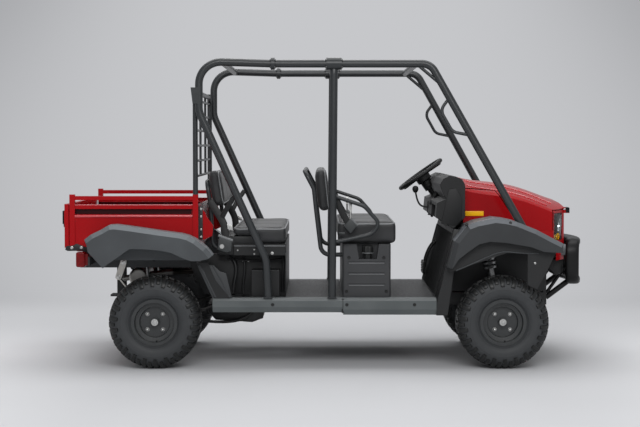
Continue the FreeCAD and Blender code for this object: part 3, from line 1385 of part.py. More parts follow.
def body_sections(inset):
    """Cross-sections of the painted body at its stations, inset by a thickness."""
    wires = []
    for x_share, fall_share in zip(BODY_STATION_SHARES, BODY_FALL_SHARES):
        x = mix(BODY_REAR_X, BODY_FRONT_X, x_share)
        crown = BODY_REAR_CROWN_Z - BODY_FALL * fall_share - inset
        edge = crown - BODY_EDGE_DROP - BODY_RIDGE_DROP_GROWTH * x_share
        y = BODY_EDGE_Y - inset
        side = BODY_HALF_WIDTH - inset
        low = BODY_BOTTOM_Z - (OVERRUN if inset else 0)
        arc = Part.Arc(V(x, -y, edge), V(x, 0, crown), V(x, y, edge)).toShape()
        rest = Part.makePolygon([V(x, y, edge), V(x, side, edge - CORNER_DROP), V(x, side, low),
                                 V(x, -side, low), V(x, -side, edge - CORNER_DROP), V(x, -y, edge)])
        wires.append(Part.Wire([arc] + rest.Edges))
    return wires


def nose_plan(inset):
    """The body's plan outline, with angled lamp corners, carried up through its whole height."""
    side, rear = BODY_HALF_WIDTH - inset, BODY_REAR_X - (OVERRUN if inset else 0)
    front = BODY_FRONT_X - inset
    corner = (BODY_CORNER_X - inset, side)
    flank = (front - BODY_NOSE_SETBACK, BODY_NOSE_Y)
    low = BODY_BOTTOM_Z - OVERRUN * 2
    nose = Part.Arc(V(flank[0], -flank[1], low), V(front, 0, low), V(flank[0], flank[1], low)).toShape()
    rest = Part.makePolygon([
        V(flank[0], flank[1], low), V(corner[0], corner[1], low), V(rear, side, low),
        V(rear, -side, low), V(corner[0], -corner[1], low), V(flank[0], -flank[1], low),
    ])
    face = Part.Face(Part.Wire([nose] + rest.Edges))
    return face.extrude(V(0, 0, BODY_REAR_CROWN_Z - low + OVERRUN))


def nose_profile(inset):
    """The body's side outline at the nose, which rounds the hood into the front panel."""
    front = BODY_FRONT_X - inset
    top = BODY_REAR_CROWN_Z + OVERRUN
    low = BODY_BOTTOM_Z - OVERRUN * 2
    shoulder = BODY_REAR_CROWN_Z - BODY_FALL
    outline = [
        (BODY_REAR_X - OVERRUN * 2, low),
        (front, low),
        *[(front - BODY_NOSE_ROUND_RUN * run, shoulder - BODY_NOSE_ROUND_RISE * rise)
          for run, rise in zip(NOSE_RUN_SHARES, NOSE_RISE_SHARES)],
        (front - BODY_NOSE_ROUND_RUN * 3, top),
        (BODY_REAR_X - OVERRUN * 2, top),
    ]
    return side_prism(outline, -BODY_HALF_WIDTH - OVERRUN, BODY_HALF_WIDTH + OVERRUN)


def body_solid(inset):
    """The painted body as a closed form, inset by a thickness."""
    form = Part.makeLoft(body_sections(inset), True, False)
    return form.common(nose_plan(inset)).common(nose_profile(inset))


def body_shell():
    """The painted body as a sheet, open at the rear and below."""
    return body_solid(0).cut(body_solid(PANEL))


def fender_top():
    """The front fender's top outline from rear to front."""
    return shared_outline(FENDER_X_SHARES, FENDER_TOP_SHARES, FENDER_REAR_X, FENDER_FRONT_X,
                          FENDER_LOW_Z, FENDER_TOP_Z)


def body_low_line():
    """The painted sides' lower edge, just under the fender's top."""
    front = BODY_CORNER_X - OVERRUN
    line = [(x, z - FENDER_CHAMFER) for x, z in fender_top() if BODY_REAR_X < x < front]
    first = (BODY_REAR_X - OVERRUN, line[0][1])
    last = (BODY_CORNER_X - HOOD_SEAM, line[-1][1] - HOOD_SEAM)
    return [first] + line + [last]


def at_x(line, x):
    """The height of a polyline, whose points run forward, at a place along the vehicle."""
    for (x0, z0), (x1, z1) in zip(line, line[1:]):
        if x0 <= x <= x1:
            return mix(z0, z1, (x - x0) / (x1 - x0))


def hood_seam():
    """The seam between cowl and hood, from the rear edge down to the fender."""
    top = BODY_REAR_CROWN_Z - BODY_EDGE_DROP
    ahead, foot = [mix(BODY_REAR_X, BODY_FRONT_X, share) for share in HOOD_SEAM_SHARES]
    return [
        (BODY_REAR_X + HOOD_BRIDGE, BODY_REAR_CROWN_Z + OVERRUN),
        (BODY_REAR_X + HOOD_BRIDGE, top - HOOD_SEAM),
        (ahead, top - HOOD_SEAM_REAR_DROP / 2),
        (foot, at_x(body_low_line(), foot)),
    ]


def hood():
    """The lifting hood: everything ahead of the cowl's seam and above the front panel's."""
    seam = hood_seam()
    front_x = BODY_CORNER_X - HOOD_SEAM
    low = [p for p in body_low_line() if p[0] > seam[-1][0]]
    outline = seam + low + [
        (front_x, HOOD_FRONT_Z),
        (BODY_FRONT_X + OVERRUN, HOOD_FRONT_Z),
        (BODY_FRONT_X + OVERRUN, BODY_REAR_CROWN_Z + OVERRUN),
    ]
    panel = body_shell().common(side_prism(outline, -BODY_HALF_WIDTH - OVERRUN, BODY_HALF_WIDTH + OVERRUN))
    return together([panel] + hood_lugs())


def hood_axis():
    """The hood's hinge line at the nose, at the vehicle's centre plane."""
    return V(BODY_FRONT_X + HINGE_PIN_RADIUS, 0, HOOD_FRONT_Z + HINGE_PIN_RADIUS / 2)


def hood_lugs():
    """The hood's two hinge barrels with their leaves on the skin."""
    pieces = []
    axis = hood_axis()
    for side in (-1, 1):
        middle = side * HINGE_HALF_SPREAD
        ends = [V(axis.x, middle + end * HINGE_LENGTH / 2, axis.z) for end in (-1, 1)]
        barrel = rod(ends[0], ends[1], HINGE_PIN_RADIUS)
        leaf_block = box(BODY_FRONT_X - HINGE_LENGTH, axis.x, ends[0].y, ends[1].y, axis.z,
                         axis.z + HINGE_PIN_RADIUS)
        bore = rod(ends[0], ends[1], HINGE_PIN_RADIUS / 2 + SPINDLE_CLEARANCE)
        pieces.append(together([barrel, leaf_block.cut(body_solid(PANEL))]).cut(bore))
    return pieces


def cowl_panels():
    """The fixed cowl: both sides behind the hood's seam, joined by a bridge under the hood's rear."""
    seam = hood_seam()
    low = body_low_line()
    rear = [(BODY_REAR_X - OVERRUN, seam[0][1])]
    edge = offset_line(seam, -HOOD_SEAM)
    under = [p for p in reversed(low) if p[0] < edge[3][0] - MOVING_GAP]
    outline = rear + edge + under
    panel = body_shell().common(side_prism(outline, -BODY_HALF_WIDTH - OVERRUN, BODY_HALF_WIDTH + OVERRUN))
    return panel


def front_openings():
    """The grille's opening in the nose and the lamps' in its corners."""
    grille = box(BODY_CORNER_X, BODY_FRONT_X + OVERRUN, -GRILLE_HALF_WIDTH, GRILLE_HALF_WIDTH,
                 GRILLE_BOTTOM_Z, GRILLE_TOP_Z)
    lamp = lamp_block(GAP)
    return [grille, lamp, flipped(lamp)]


def lamp_block(grow):
    """The right-hand lamp's block, square to the angled corner, grown by a gap."""
    flank = V(BODY_FRONT_X - BODY_NOSE_SETBACK, -BODY_NOSE_Y, 0)
    corner = V(BODY_CORNER_X, -BODY_HALF_WIDTH, 0)
    along = (corner - flank).normalize()
    inward = V(along.y, -along.x, 0)
    start = flank + along * (LAMP_INSET - grow)
    end = corner - along * (LAMP_OUTER_INSET - grow)
    depth = inward * LAMP_DEPTH
    proud = inward * -(PANEL + grow * PANEL)
    outline = [(p.x, p.y) for p in (start + proud, end + proud, end + depth, start + depth)]
    return plan_prism(outline, LAMP_BOTTOM_Z - grow, LAMP_TOP_Z + grow)


def front_panel():
    """The painted nose under the hood, open for the grille and the lamps."""
    outline = [
        (BODY_CORNER_X, HOOD_FRONT_Z - HOOD_SEAM),
        (BODY_FRONT_X + OVERRUN, HOOD_FRONT_Z - HOOD_SEAM),
        (BODY_FRONT_X + OVERRUN, BODY_BOTTOM_Z - OVERRUN),
        (BODY_CORNER_X + APRON_STEP, BODY_BOTTOM_Z - OVERRUN),
        (BODY_CORNER_X + APRON_STEP, LAMP_BOTTOM_Z),
        (BODY_CORNER_X, LAMP_BOTTOM_Z + APRON_STEP / 2),
    ]
    panel = body_shell().common(side_prism(outline, -BODY_HALF_WIDTH - OVERRUN, BODY_HALF_WIDTH + OVERRUN))
    return together([panel.cut(front_openings())] + hinge_ears())


def hinge_ears():
    """Ears on both sides of each hood barrel, with the pin through it."""
    axis = hood_axis()
    pieces = []
    inside = body_solid(PANEL)
    for middle in (-HINGE_HALF_SPREAD, HINGE_HALF_SPREAD):
        reach = HINGE_LENGTH / 2 + GAP + HINGE_EAR
        pieces.append(rod(V(axis.x, middle - reach, axis.z), V(axis.x, middle + reach, axis.z),
                          HINGE_PIN_RADIUS / 2))
        for side in (-1, 1):
            y = sorted((middle + side * reach, middle + side * (reach - HINGE_EAR)))
            eye = rod(V(axis.x, y[0], axis.z), V(axis.x, y[1], axis.z), HINGE_PIN_RADIUS)
            root = box(axis.x - HINGE_LENGTH, axis.x + HINGE_PIN_RADIUS, y[0], y[1],
                       axis.z - HINGE_LENGTH / 2, axis.z - HOOD_SEAM * 2)
            web = box(axis.x - HINGE_PIN_RADIUS, axis.x + HINGE_PIN_RADIUS, y[0], y[1],
                      axis.z - HOOD_SEAM * 2, axis.z)
            pieces += [eye, web, root.cut(inside)]
    return pieces


def headlamp():
    """The right-hand lamp, cut to the body's own surface with its lens flush."""
    return lamp_block(0).common(body_solid(0))


def grille():
    """Slats across the nose's opening, on two uprights behind it."""
    edge = GRILLE_HALF_WIDTH - GAP
    pieces = []
    pitch = (GRILLE_TOP_Z - GRILLE_BOTTOM_Z - GRILLE_BAR - GAP * 2) / (GRILLE_BARS - 1)
    for n in range(GRILLE_BARS):
        z = GRILLE_BOTTOM_Z + GAP + n * pitch
        pieces.append(box(BODY_CORNER_X + APRON_STEP, BODY_FRONT_X + OVERRUN, -edge, edge, z, z + GRILLE_BAR))
    for y in (-edge, -GRILLE_BAR / 2, edge - GRILLE_BAR):
        pieces.append(box(BODY_CORNER_X + APRON_STEP, BODY_FRONT_X + OVERRUN, y, y + GRILLE_BAR,
                          GRILLE_BOTTOM_Z + GAP, GRILLE_TOP_Z - GAP))
    bars = together(pieces)
    return bars.common(body_solid(PANEL / 2)).cut(body_solid(PANEL / 2 + GRILLE_DEPTH))


def dash_outline():
    """The dashboard's side outline, clockwise from its lower rear edge."""
    return shared_outline(DASH_DEPTH_SHARES, DASH_HEIGHT_SHARES, DASH_REAR_X, DASH_FRONT_X,
                          DASH_BOTTOM_Z, DASH_TOP_Z)


def dashboard():
    """The moulded dashboard with an open bin on the passenger's side."""
    block = side_prism(dash_outline(), -DASH_HALF_WIDTH, DASH_HALF_WIDTH)
    bin_space = box(DASH_REAR_X - OVERRUN, DASH_REAR_X + BIN_DEPTH, BIN_CENTRE_Y - BIN_WIDTH / 2,
                    BIN_CENTRE_Y + BIN_WIDTH / 2, BIN_BOTTOM_Z, BIN_BOTTOM_Z + BIN_HEIGHT)
    down = column_axis()
    switches = STEER_CENTRE + down * (STEER_HUB_LENGTH + COLUMN_SWITCH_LENGTH + GAP * 2)
    column = rod(STEER_CENTRE, STEER_CENTRE + down * (COLUMN_LENGTH * 2), COLUMN_RADIUS + GAP)
    housing = rod(STEER_CENTRE, switches, COLUMN_SWITCH_RADIUS + GAP)
    return block.cut([bin_space, column, housing])


def fender_form(top, lip, outer, inner, inset, drop):
    """A fender as a closed form between its top and lip outlines, with a chamfered outer edge."""
    low = offset_line(top, -drop)
    wide = list(top) + list(lip)
    narrow = low + list(lip)
    chamfer = outer - FENDER_CHAMFER
    return ruled([
        [V(x, -inner, z) for x, z in wide],
        [V(x, -chamfer, z) for x, z in wide],
        [V(x, -(outer - inset), z) for x, z in narrow],
    ])


def fender_shell(top, lip, outer, inner):
    """A moulded fender: a sheet over the wheel, open below and towards the body."""
    outside = fender_form(top, lip, outer, inner, 0, FENDER_CHAMFER_DROP)
    inner_top = offset_line(top, -FENDER_WALL)
    deep = [(x, z - OVERRUN * 4) for x, z in lip]
    deep[0] = (inner_top[-1][0], deep[0][1])
    deep[-1] = (inner_top[0][0], deep[-1][1])
    hollow = fender_form(inner_top, deep, outer, inner - OVERRUN, FENDER_WALL, FENDER_CHAMFER_DROP)
    return outside.cut(hollow)


def front_fender():
    """The right-hand front fender with its inner lip, front skirt and leg to the sill."""
    top = fender_top()
    ends = (FENDER_REAR_X, FENDER_FRONT_X, FENDER_LOW_Z, FENDER_TOP_Z)
    lip = shared_outline(FENDER_LIP_X_SHARES, FENDER_LIP_SHARES, *ends)
    shell = fender_shell(top, lip, FENDER_HALF_WIDTH, FENDER_INNER_Y)
    liner = shared_outline(LINER_X_SHARES, LINER_SHARES, *ends)
    skirt = shared_outline(SKIRT_X_SHARES, SKIRT_SHARES, *ends)
    under = offset_line(top, -FENDER_WALL / 2)
    plate = side_prism(under + list(reversed(liner + skirt)), -LINER_Y, FENDER_WALL - LINER_Y)
    leg = side_prism(leg_outline(), -SILL_HALF_WIDTH, -LEG_INNER_Y)
    top_corner, low, down = post_line()
    hole = rod(low - down * OVERRUN * 2, low, CAGE_TUBE + MOVING_GAP)
    half = CROSS_WIDTH / 2 + MOVING_GAP
    notch = box(POST_FOOT_X - half, POST_FOOT_X + half, -FOOT_BEAM_HALF_LENGTH - GAP, -FENDER_INNER_Y,
                FOOT_BEAM_TOP - FOOT_BEAM_HEIGHT - MOVING_GAP, FOOT_BEAM_TOP + CAGE_FOOT_PLATE + MOVING_GAP)
    return together([shell, plate, leg]).cut([hole, notch])


def leg_outline():
    """The strip from the sill's end up to the front fender."""
    head = LEG_REAR_X + LEG_WIDTH
    return [
        (LEG_REAR_X, LEG_BOTTOM_Z),
        (LEG_REAR_X + LEG_WIDTH + SILL_CHAMFER / 2, LEG_BOTTOM_Z),
        (head + LEG_HEAD_WIDTH, LEG_HEAD_Z),
        (head, LEG_HEAD_Z),
        (LEG_REAR_X, FLOOR_TOP - SILL_CHAMFER_RISE),
    ]


def rear_fender():
    """The right-hand rear fender, closed by an inner wall on the frame's arms."""
    ends = (REAR_FENDER_REAR_X, REAR_FENDER_FRONT_X, REAR_FENDER_LOW_Z, REAR_FENDER_TOP_Z)
    top = shared_outline(REAR_FENDER_X_SHARES, REAR_FENDER_TOP_SHARES, *ends)
    lip = shared_outline(REAR_FENDER_LIP_X_SHARES, REAR_FENDER_LIP_SHARES, *ends)
    shell = fender_shell(top, lip, FENDER_HALF_WIDTH, REAR_FENDER_INNER_Y)
    wall = [(x, z) for x, z in offset_line(top, -FENDER_WALL / 2) if x > REAR_RAIL_END_X + OVERRUN]
    wall = wall[1:-1]
    low = REAR_RAIL_TOP - BRACKET * 2
    outline = wall + [(wall[-1][0], low), (wall[0][0], low)]
    inner = side_prism(outline, -REAR_FENDER_INNER_Y - FENDER_WALL, -REAR_FENDER_INNER_Y)
    return together([shell, inner])


def splash_guard():
    """The right-hand guard between the rear wheel and the seat, standing on the sill."""
    line = [
        (SPLASH_FOOT_X, FLOOR_TOP),
        (SPLASH_KNEE_X - SPLASH_TOP_LENGTH + PANEL, (SPLASH_KNEE_Z + SPLASH_TOP_Z) / 2),
        (SPLASH_TOP_X, SPLASH_TOP_Z),
    ]
    rear = side_prism(strip(line, -PANEL), -SPLASH_OUTER_Y, -SPLASH_INNER_Y)
    outline = line + [
        (SPLASH_TOP_X + SPLASH_TOP_LENGTH, SPLASH_TOP_Z),
        (SPLASH_KNEE_X, SPLASH_KNEE_Z),
        (SPLASH_FOOT_X + SPLASH_FOOT_LENGTH, FLOOR_TOP),
    ]
    side = side_prism(outline, -SPLASH_OUTER_Y, PANEL - SPLASH_OUTER_Y)
    return together([rear, side])


def guard_band(x_shift):
    """The plan region between the guard's front and rear curves, carried up through its height."""
    half, front = GUARD_SPAN, GUARD_REAR_X + GUARD_BAR_DEPTH + GUARD_BOW
    bow = GUARD_BOW
    low, high = GUARD_BOTTOM_Z - OVERRUN, GUARD_BOTTOM_Z + GUARD_HEIGHT + OVERRUN
    wide = half + OVERRUN
    ahead = Part.Arc(V(front - bow, -wide, low), V(front, 0, low), V(front - bow, wide, low)).toShape()
    rear = front - GUARD_BAR_DEPTH
    behind = Part.Arc(V(rear - bow, wide, low), V(rear, 0, low), V(rear - bow, -wide, low)).toShape()
    right = Part.LineSegment(V(rear - bow, -wide, low), V(front - bow, -wide, low)).toShape()
    left = Part.LineSegment(V(front - bow, wide, low), V(rear - bow, wide, low)).toShape()
    band = Part.Face(Part.Wire([ahead, left, behind, right])).extrude(V(0, 0, high - low))
    band.translate(V(x_shift, 0, 0))
    return band


def guard_ring(inset):
    """A front-view rounded rectangle carried forward, inset from the guard's outline."""
    z0, z1 = GUARD_BOTTOM_Z + inset, GUARD_BOTTOM_Z + GUARD_HEIGHT - inset
    half = GUARD_SPAN - inset
    block = box(GUARD_REAR_X - GUARD_BLANK_REAR, GUARD_REAR_X + GUARD_BLANK_FRONT, -half, half, z0, z1)
    radius = GUARD_CORNER - inset
    return softened(block, radius, lambda e: abs(e.tangentAt(e.FirstParameter).x) > STRAIGHT_SHARE)


def front_guard():
    """The bowed bumper loop, its uprights, and struts back to the frame's rails."""
    loop = guard_ring(0).cut(guard_ring(GUARD_BAR_WIDTH)).common(guard_band(0))
    bars = []
    for side in (-1, 1):
        y = side * GUARD_UPRIGHT_Y
        upright = box(GUARD_REAR_X - GUARD_BLANK_REAR, GUARD_REAR_X + GUARD_BLANK_FRONT,
                      y - GUARD_STRUT_RADIUS, y + GUARD_STRUT_RADIUS,
                      GUARD_BOTTOM_Z + GUARD_STRUT_RADIUS,
                      GUARD_BOTTOM_Z + GUARD_HEIGHT - GUARD_STRUT_RADIUS)
        bars.append(upright.common(guard_band(0)).cut(loop))
        rail_end = V(RAIL_FRONT_X, side * GUARD_STRUT_Y, (FRAME_TOP + FRAME_BOTTOM) / 2)
        tip = V(GUARD_REAR_X + GUARD_BOW, side * GUARD_STRUT_Y, GUARD_BOTTOM_Z + GUARD_STRUT_RADIUS)
        strut_bar = rod(rail_end, tip, GUARD_STRUT_RADIUS)
        behind = box(rail_end.x - OVERRUN, rail_end.x, rail_end.y - OVERRUN, rail_end.y + OVERRUN,
                     rail_end.z - OVERRUN, rail_end.z + OVERRUN)
        bars.append(strut_bar.cut(behind).cut(loop))
    return Part.makeCompound([loop] + bars)


def bed_wall_line():
    """The bed side's pressed section from the floor to its top flange, as (y, z) pairs."""
    y = -BED_HALF_WIDTH
    groove_top = BED_RIM_Z - BED_FLANGE_HEIGHT
    groove_bottom = groove_top - BED_GROOVE_HEIGHT
    ledge = groove_bottom - BED_LEDGE_HEIGHT
    return [
        (y, BED_BOTTOM_Z),
        (y, ledge),
        (y + BED_LEDGE_HEIGHT / 2, groove_bottom),
        (y + BED_GROOVE_DEPTH, groove_bottom + PANEL),
        (y + BED_GROOVE_DEPTH, groove_top - PANEL),
        (y, groove_top),
        (y, BED_RIM_Z),
        (y + BED_GROOVE_DEPTH, BED_RIM_Z),
    ]


def bed_tub():
    """The cargo bed: floor, side and front walls, corner posts and the longerons underneath."""
    x0, x1, y1 = BED_REAR_X + BED_POST_DEPTH, BED_FRONT_X - BED_SHEET, BED_HALF_WIDTH
    pieces = [box(BED_REAR_X, x1, -y1, y1, BED_BOTTOM_Z, BED_BOTTOM_Z + BED_SHEET)]
    pitch = 2 * y1 / BED_FLOOR_RIBS
    for n in range(BED_FLOOR_RIBS):
        y = -y1 + (n + 0.5) * pitch
        pieces.append(box(x0, x1 - BED_POST_DEPTH, y - BED_FLOOR_RIB_WIDTH / 2, y + BED_FLOOR_RIB_WIDTH / 2,
                          BED_BOTTOM_Z + BED_SHEET / 2, BED_BOTTOM_Z + BED_SHEET + BED_FLOOR_RIB_HEIGHT))
    wall = section_prism(strip(bed_wall_line(), -BED_SHEET), BED_REAR_X + BED_POST_DEPTH / 2, x1)
    pieces += [wall, flipped(wall)]
    pieces.append(box(x1, BED_FRONT_X, -y1, y1, BED_BOTTOM_Z, BED_RIM_Z))
    outer = y1 + MOVING_GAP
    for x in (BED_REAR_X, BED_FRONT_X - BED_POST_DEPTH):
        post = box(x, x + BED_POST_DEPTH, -outer, BED_POST_THICKNESS - outer, BED_BOTTOM_Z, BED_POST_TOP)
        pieces += [post, flipped(post)]
    return together(pieces + bed_supports())


def bed_supports():
    """Longerons with the pivot's holes, the front rest beam and the tailgate's hinge ears."""
    inner = REAR_RAIL_CENTRE_Y - RAIL_WIDTH / 2 - MOVING_GAP
    low = BED_PIVOT_Z - BED_HINGE_RADIUS + GAP
    pieces = []
    pivot = V(BED_PIVOT_X, 0, BED_PIVOT_Z)
    for side in (-1, 1):
        y = sorted((side * inner, side * (inner - BED_LONGERON_WIDTH)))
        beam = box(BED_REAR_X, BED_FRONT_X - BED_POST_DEPTH, y[0], y[1], low, BED_BOTTOM_Z)
        hole = rod(V(pivot.x, y[0] - OVERRUN, pivot.z), V(pivot.x, y[1] + OVERRUN, pivot.z),
                   BED_PIN_RADIUS + BED_PIN_CLEARANCE)
        pieces.append(beam.cut(hole))
        ear_y = sorted((side * TAILGATE_HINGE_Y, side * (TAILGATE_HINGE_Y - BED_HINGE_PLATE)))
        axis = tailgate_axis()
        low = axis.z - HINGE_PIN_RADIUS * 2
        ear = box(BED_REAR_X, BED_REAR_X + HINGE_LENGTH, ear_y[0], ear_y[1], low, BED_BOTTOM_Z)
        arm = box(axis.x, BED_REAR_X, ear_y[0], ear_y[1], low, axis.z + HINGE_PIN_RADIUS * 2)
        eye = rod(V(axis.x, ear_y[0], axis.z), V(axis.x, ear_y[1], axis.z), HINGE_PIN_RADIUS * 2)
        pin_y = sorted((side * TAILGATE_HINGE_Y, side * (TAILGATE_HINGE_Y + HINGE_LENGTH)))
        pin = rod(V(axis.x, pin_y[0], axis.z), V(axis.x, pin_y[1], axis.z), HINGE_PIN_RADIUS)
        pieces += [ear, arm, eye, pin]
    rest = BED_FRONT_X - BED_POST_DEPTH - CROSS_WIDTH
    reach = REAR_RAIL_CENTRE_Y + RAIL_WIDTH / 2
    pieces.append(box(rest, rest + CROSS_WIDTH, -reach, reach, REAR_RAIL_TOP + GAP, BED_BOTTOM_Z))
    return pieces


def bed_rail():
    """The right-hand upper rail between the corner posts."""
    outer = BED_HALF_WIDTH + MOVING_GAP
    return box(BED_REAR_X + BED_POST_DEPTH, BED_FRONT_X - BED_POST_DEPTH, -outer, BED_POST_THICKNESS - outer,
               BED_RAIL_BOTTOM, BED_RAIL_BOTTOM + BED_RAIL)


def tailgate_axis():
    """The tailgate's hinge line, under its lower edge."""
    drop = HINGE_PIN_RADIUS * 2 + GAP * 2
    return V(BED_REAR_X - MOVING_GAP - TAILGATE_THICKNESS / 2, 0, TAILGATE_BOTTOM_Z - drop)


def tailgate():
    """The tailgate: a framed panel with two latches and its hinge loops."""
    x0 = BED_REAR_X - MOVING_GAP - TAILGATE_THICKNESS
    x1, y1 = x0 + TAILGATE_THICKNESS, BED_HALF_WIDTH
    panel = box(x0, x1, -y1, y1, TAILGATE_BOTTOM_Z, TAILGATE_TOP_Z)
    recess = box(x0 - OVERRUN, x0 + TAILGATE_RECESS, TAILGATE_FRAME - y1, y1 - TAILGATE_FRAME,
                 TAILGATE_BOTTOM_Z + TAILGATE_FRAME, TAILGATE_TOP_Z - TAILGATE_FRAME)
    pieces = [panel.cut(recess)]
    axis = tailgate_axis()
    for side in (-1, 1):
        y = sorted((side * y1, side * (y1 - LATCH_WIDTH)))
        pieces.append(box(x0 - LATCH_DEPTH, x0, y[0], y[1], LATCH_TOP_Z - LATCH_HEIGHT, LATCH_TOP_Z))
        start = side * (TAILGATE_HINGE_Y + GAP)
        end = side * (TAILGATE_HINGE_Y + HINGE_LENGTH)
        y = sorted((start, end))
        loop = rod(V(axis.x, y[0], axis.z), V(axis.x, y[1], axis.z), HINGE_PIN_RADIUS * 2)
        leaf = box(axis.x - HINGE_PIN_RADIUS * 2, axis.x + HINGE_PIN_RADIUS * 2, y[0], y[1], axis.z,
                   TAILGATE_BOTTOM_Z)
        bore = rod(V(axis.x, y[0] - OVERRUN, axis.z), V(axis.x, y[1] + OVERRUN, axis.z),
                   HINGE_PIN_RADIUS + SPINDLE_CLEARANCE)
        pieces.append(loop.fuse(leaf).cut(bore))
    return together(pieces)


def bed_screen():
    """The ladder screen on the bed's front posts, behind the rear bench."""
    y1 = BED_HALF_WIDTH + MOVING_GAP - BED_POST_THICKNESS / 2
    x = BED_FRONT_X - BED_POST_DEPTH / 2
    path = [V(x, -y1, BED_POST_TOP), V(x, -y1, SCREEN_TOP_Z), V(x, y1, SCREEN_TOP_Z), V(x, y1, BED_POST_TOP)]
    pieces = [bent_tube(path, SCREEN_TUBE, SCREEN_CORNER)]
    for n in range(SCREEN_BARS):
        z = SCREEN_LOW_BAR_Z + n * SCREEN_BAR_PITCH
        pieces.append(rod(V(x, -y1, z), V(x, y1, z), SCREEN_BAR))
    low = SCREEN_LOW_BAR_Z
    for side in (-1, 1):
        y = side * SCREEN_UPRIGHT_Y
        pieces.append(rod(V(x, y, low), V(x, y, SCREEN_TOP_Z), SCREEN_BAR))
    return together(pieces)


def bed_wing():
    """The right-hand folding side extension, stowed ahead of the bed's front wall."""
    outline = shared_outline(WING_RUN_SHARES, WING_HEIGHT_SHARES, BED_FRONT_X, BED_FRONT_X + WING_REACH,
                             WING_BOTTOM_Z, WING_TOP_Z)
    outer = -(BACK_HALF_WIDTH + MOVING_GAP * 2 + WING_THICKNESS)
    return side_prism(outline, outer, outer + WING_THICKNESS)


def rear_axle():
    """The rear axle: housing, differential, drums, spindles and the dampers' brackets."""
    hub = V(REAR_AXLE_X, -WHEEL_Y, TYRE_RADIUS)
    drum, spindle, back = hub_parts(hub)
    half = rod(back, V(hub.x, 0, hub.z), AXLE_TUBE)
    bracket = box(DAMPER_FOOT_X - DAMPER_RADIUS, hub.x, -DAMPER_Y, BRACKET - DAMPER_Y, hub.z,
                  DAMPER_FOOT_Z + DAMPER_ROD_RADIUS)
    centre = rod(V(hub.x, -DIFF_WIDTH / 2, hub.z), V(hub.x, DIFF_WIDTH / 2, hub.z), DIFF_RADIUS)
    side = [drum, spindle, half, bracket]
    pad = box(hub.x - SPRING_WIDTH, hub.x + SPRING_WIDTH, -spring_y(1), -spring_y(-1), hub.z,
              hub.z + AXLE_TUBE + SPRING_LEAF * 2)
    side.append(pad.cut([leaf(n) for n in range(SPRING_LEAVES)]))
    return together(side + [flipped(p) for p in side] + [softened(centre, SPRING_LEAF)])


def spring_y(side):
    """The outer (1) or inner (-1) face of a leaf spring."""
    return REAR_RAIL_CENTRE_Y + side * (RAIL_WIDTH / 2 - SPRING_EYE_CLEAR)


def leaf(n):
    """One curved leaf, under the main one and shorter than it by its place."""
    seat_z = TYRE_RADIUS + AXLE_TUBE + SPRING_LEAF * (SPRING_LEAVES + 1)
    ends = ((SPRING_REAR_X, SPRING_REAR_Z), (REAR_AXLE_X, seat_z), (SPRING_FRONT_X, SPRING_FRONT_Z))
    main = Part.Arc(*[V(x, -spring_y(1), z) for x, z in ends]).toShape().Curve
    rear, middle, front = [math.atan2(z - main.Center.z, x - main.Center.x) for x, z in ends]
    keep = 1 - n / (SPRING_LEAVES + 1)
    first, last = mix(middle, rear, keep), mix(middle, front, keep)
    top = main.Radius + n * SPRING_LEAF

    def at(angle, radius):
        return main.Center + V(math.cos(angle), 0, math.sin(angle)) * radius

    def arc(a, b, radius):
        return Part.Arc(at(a, radius), at((a + b) / 2, radius), at(b, radius)).toShape()

    def side(angle):
        return Part.LineSegment(at(angle, top), at(angle, top + SPRING_LEAF)).toShape()

    outline = Part.Wire([arc(first, last, top), side(last), arc(last, first, top + SPRING_LEAF), side(first)])
    return Part.Face(outline).extrude(V(0, spring_y(1) - spring_y(-1), 0))


def leaf_spring():
    """The right-hand leaf pack with its eyes and the shackle that hangs its rear end."""
    y0, y1 = -spring_y(1), -spring_y(-1)
    outer, inner = -(REAR_RAIL_CENTRE_Y + RAIL_WIDTH / 2), -(REAR_RAIL_CENTRE_Y - RAIL_WIDTH / 2)
    pieces = [leaf(n) for n in range(SPRING_LEAVES)]
    pieces.append(rod(V(SPRING_FRONT_X, outer, SPRING_FRONT_Z), V(SPRING_FRONT_X, inner, SPRING_FRONT_Z),
                      SPRING_EYE_RADIUS))
    pieces.append(rod(V(SPRING_REAR_X, outer, SPRING_REAR_Z), V(SPRING_REAR_X, inner, SPRING_REAR_Z),
                      SPRING_EYE_RADIUS))
    for y in (outer - SHACKLE_THICKNESS, inner):
        top = V(SHACKLE_TOP_X, y, SHACKLE_TOP_Z)
        low = V(SPRING_REAR_X, y, SPRING_REAR_Z)
        run = (low - top).normalize()
        side = V(run.z, 0, -run.x) * (SHACKLE_WIDTH / 2)
        plate = polygon([top + side, low + side, low - side, top - side]).extrude(V(0, SHACKLE_THICKNESS, 0))
        ends = [rod(p, p + Y_AXIS * SHACKLE_THICKNESS, SHACKLE_WIDTH / 2) for p in (top, low)]
        pieces += [plate] + ends
    return together(pieces)


def damper():
    """The right-hand rear damper between the axle's bracket and the frame's."""
    y = -DAMPER_Y
    low = V(DAMPER_FOOT_X, y - DAMPER_RADIUS, DAMPER_FOOT_Z)
    high = V(DAMPER_TOP_X, y - DAMPER_RADIUS, DAMPER_TOP_Z)
    middle = low + (high - low) * DAMPER_BODY_SHARE
    pieces = [rod(low, middle, DAMPER_RADIUS), rod(middle, high, DAMPER_ROD_RADIUS)]
    for end in (low, high):
        pieces.append(rod(end - Y_AXIS * DAMPER_RADIUS, end + Y_AXIS * DAMPER_RADIUS,
                          DAMPER_RADIUS * DAMPER_EYE_SHARE))
    trim = box(low.x - OVERRUN * 4, low.x + OVERRUN * 4, y, y + OVERRUN, 0, REAR_RAIL_TOP)
    return together(pieces).cut(trim)


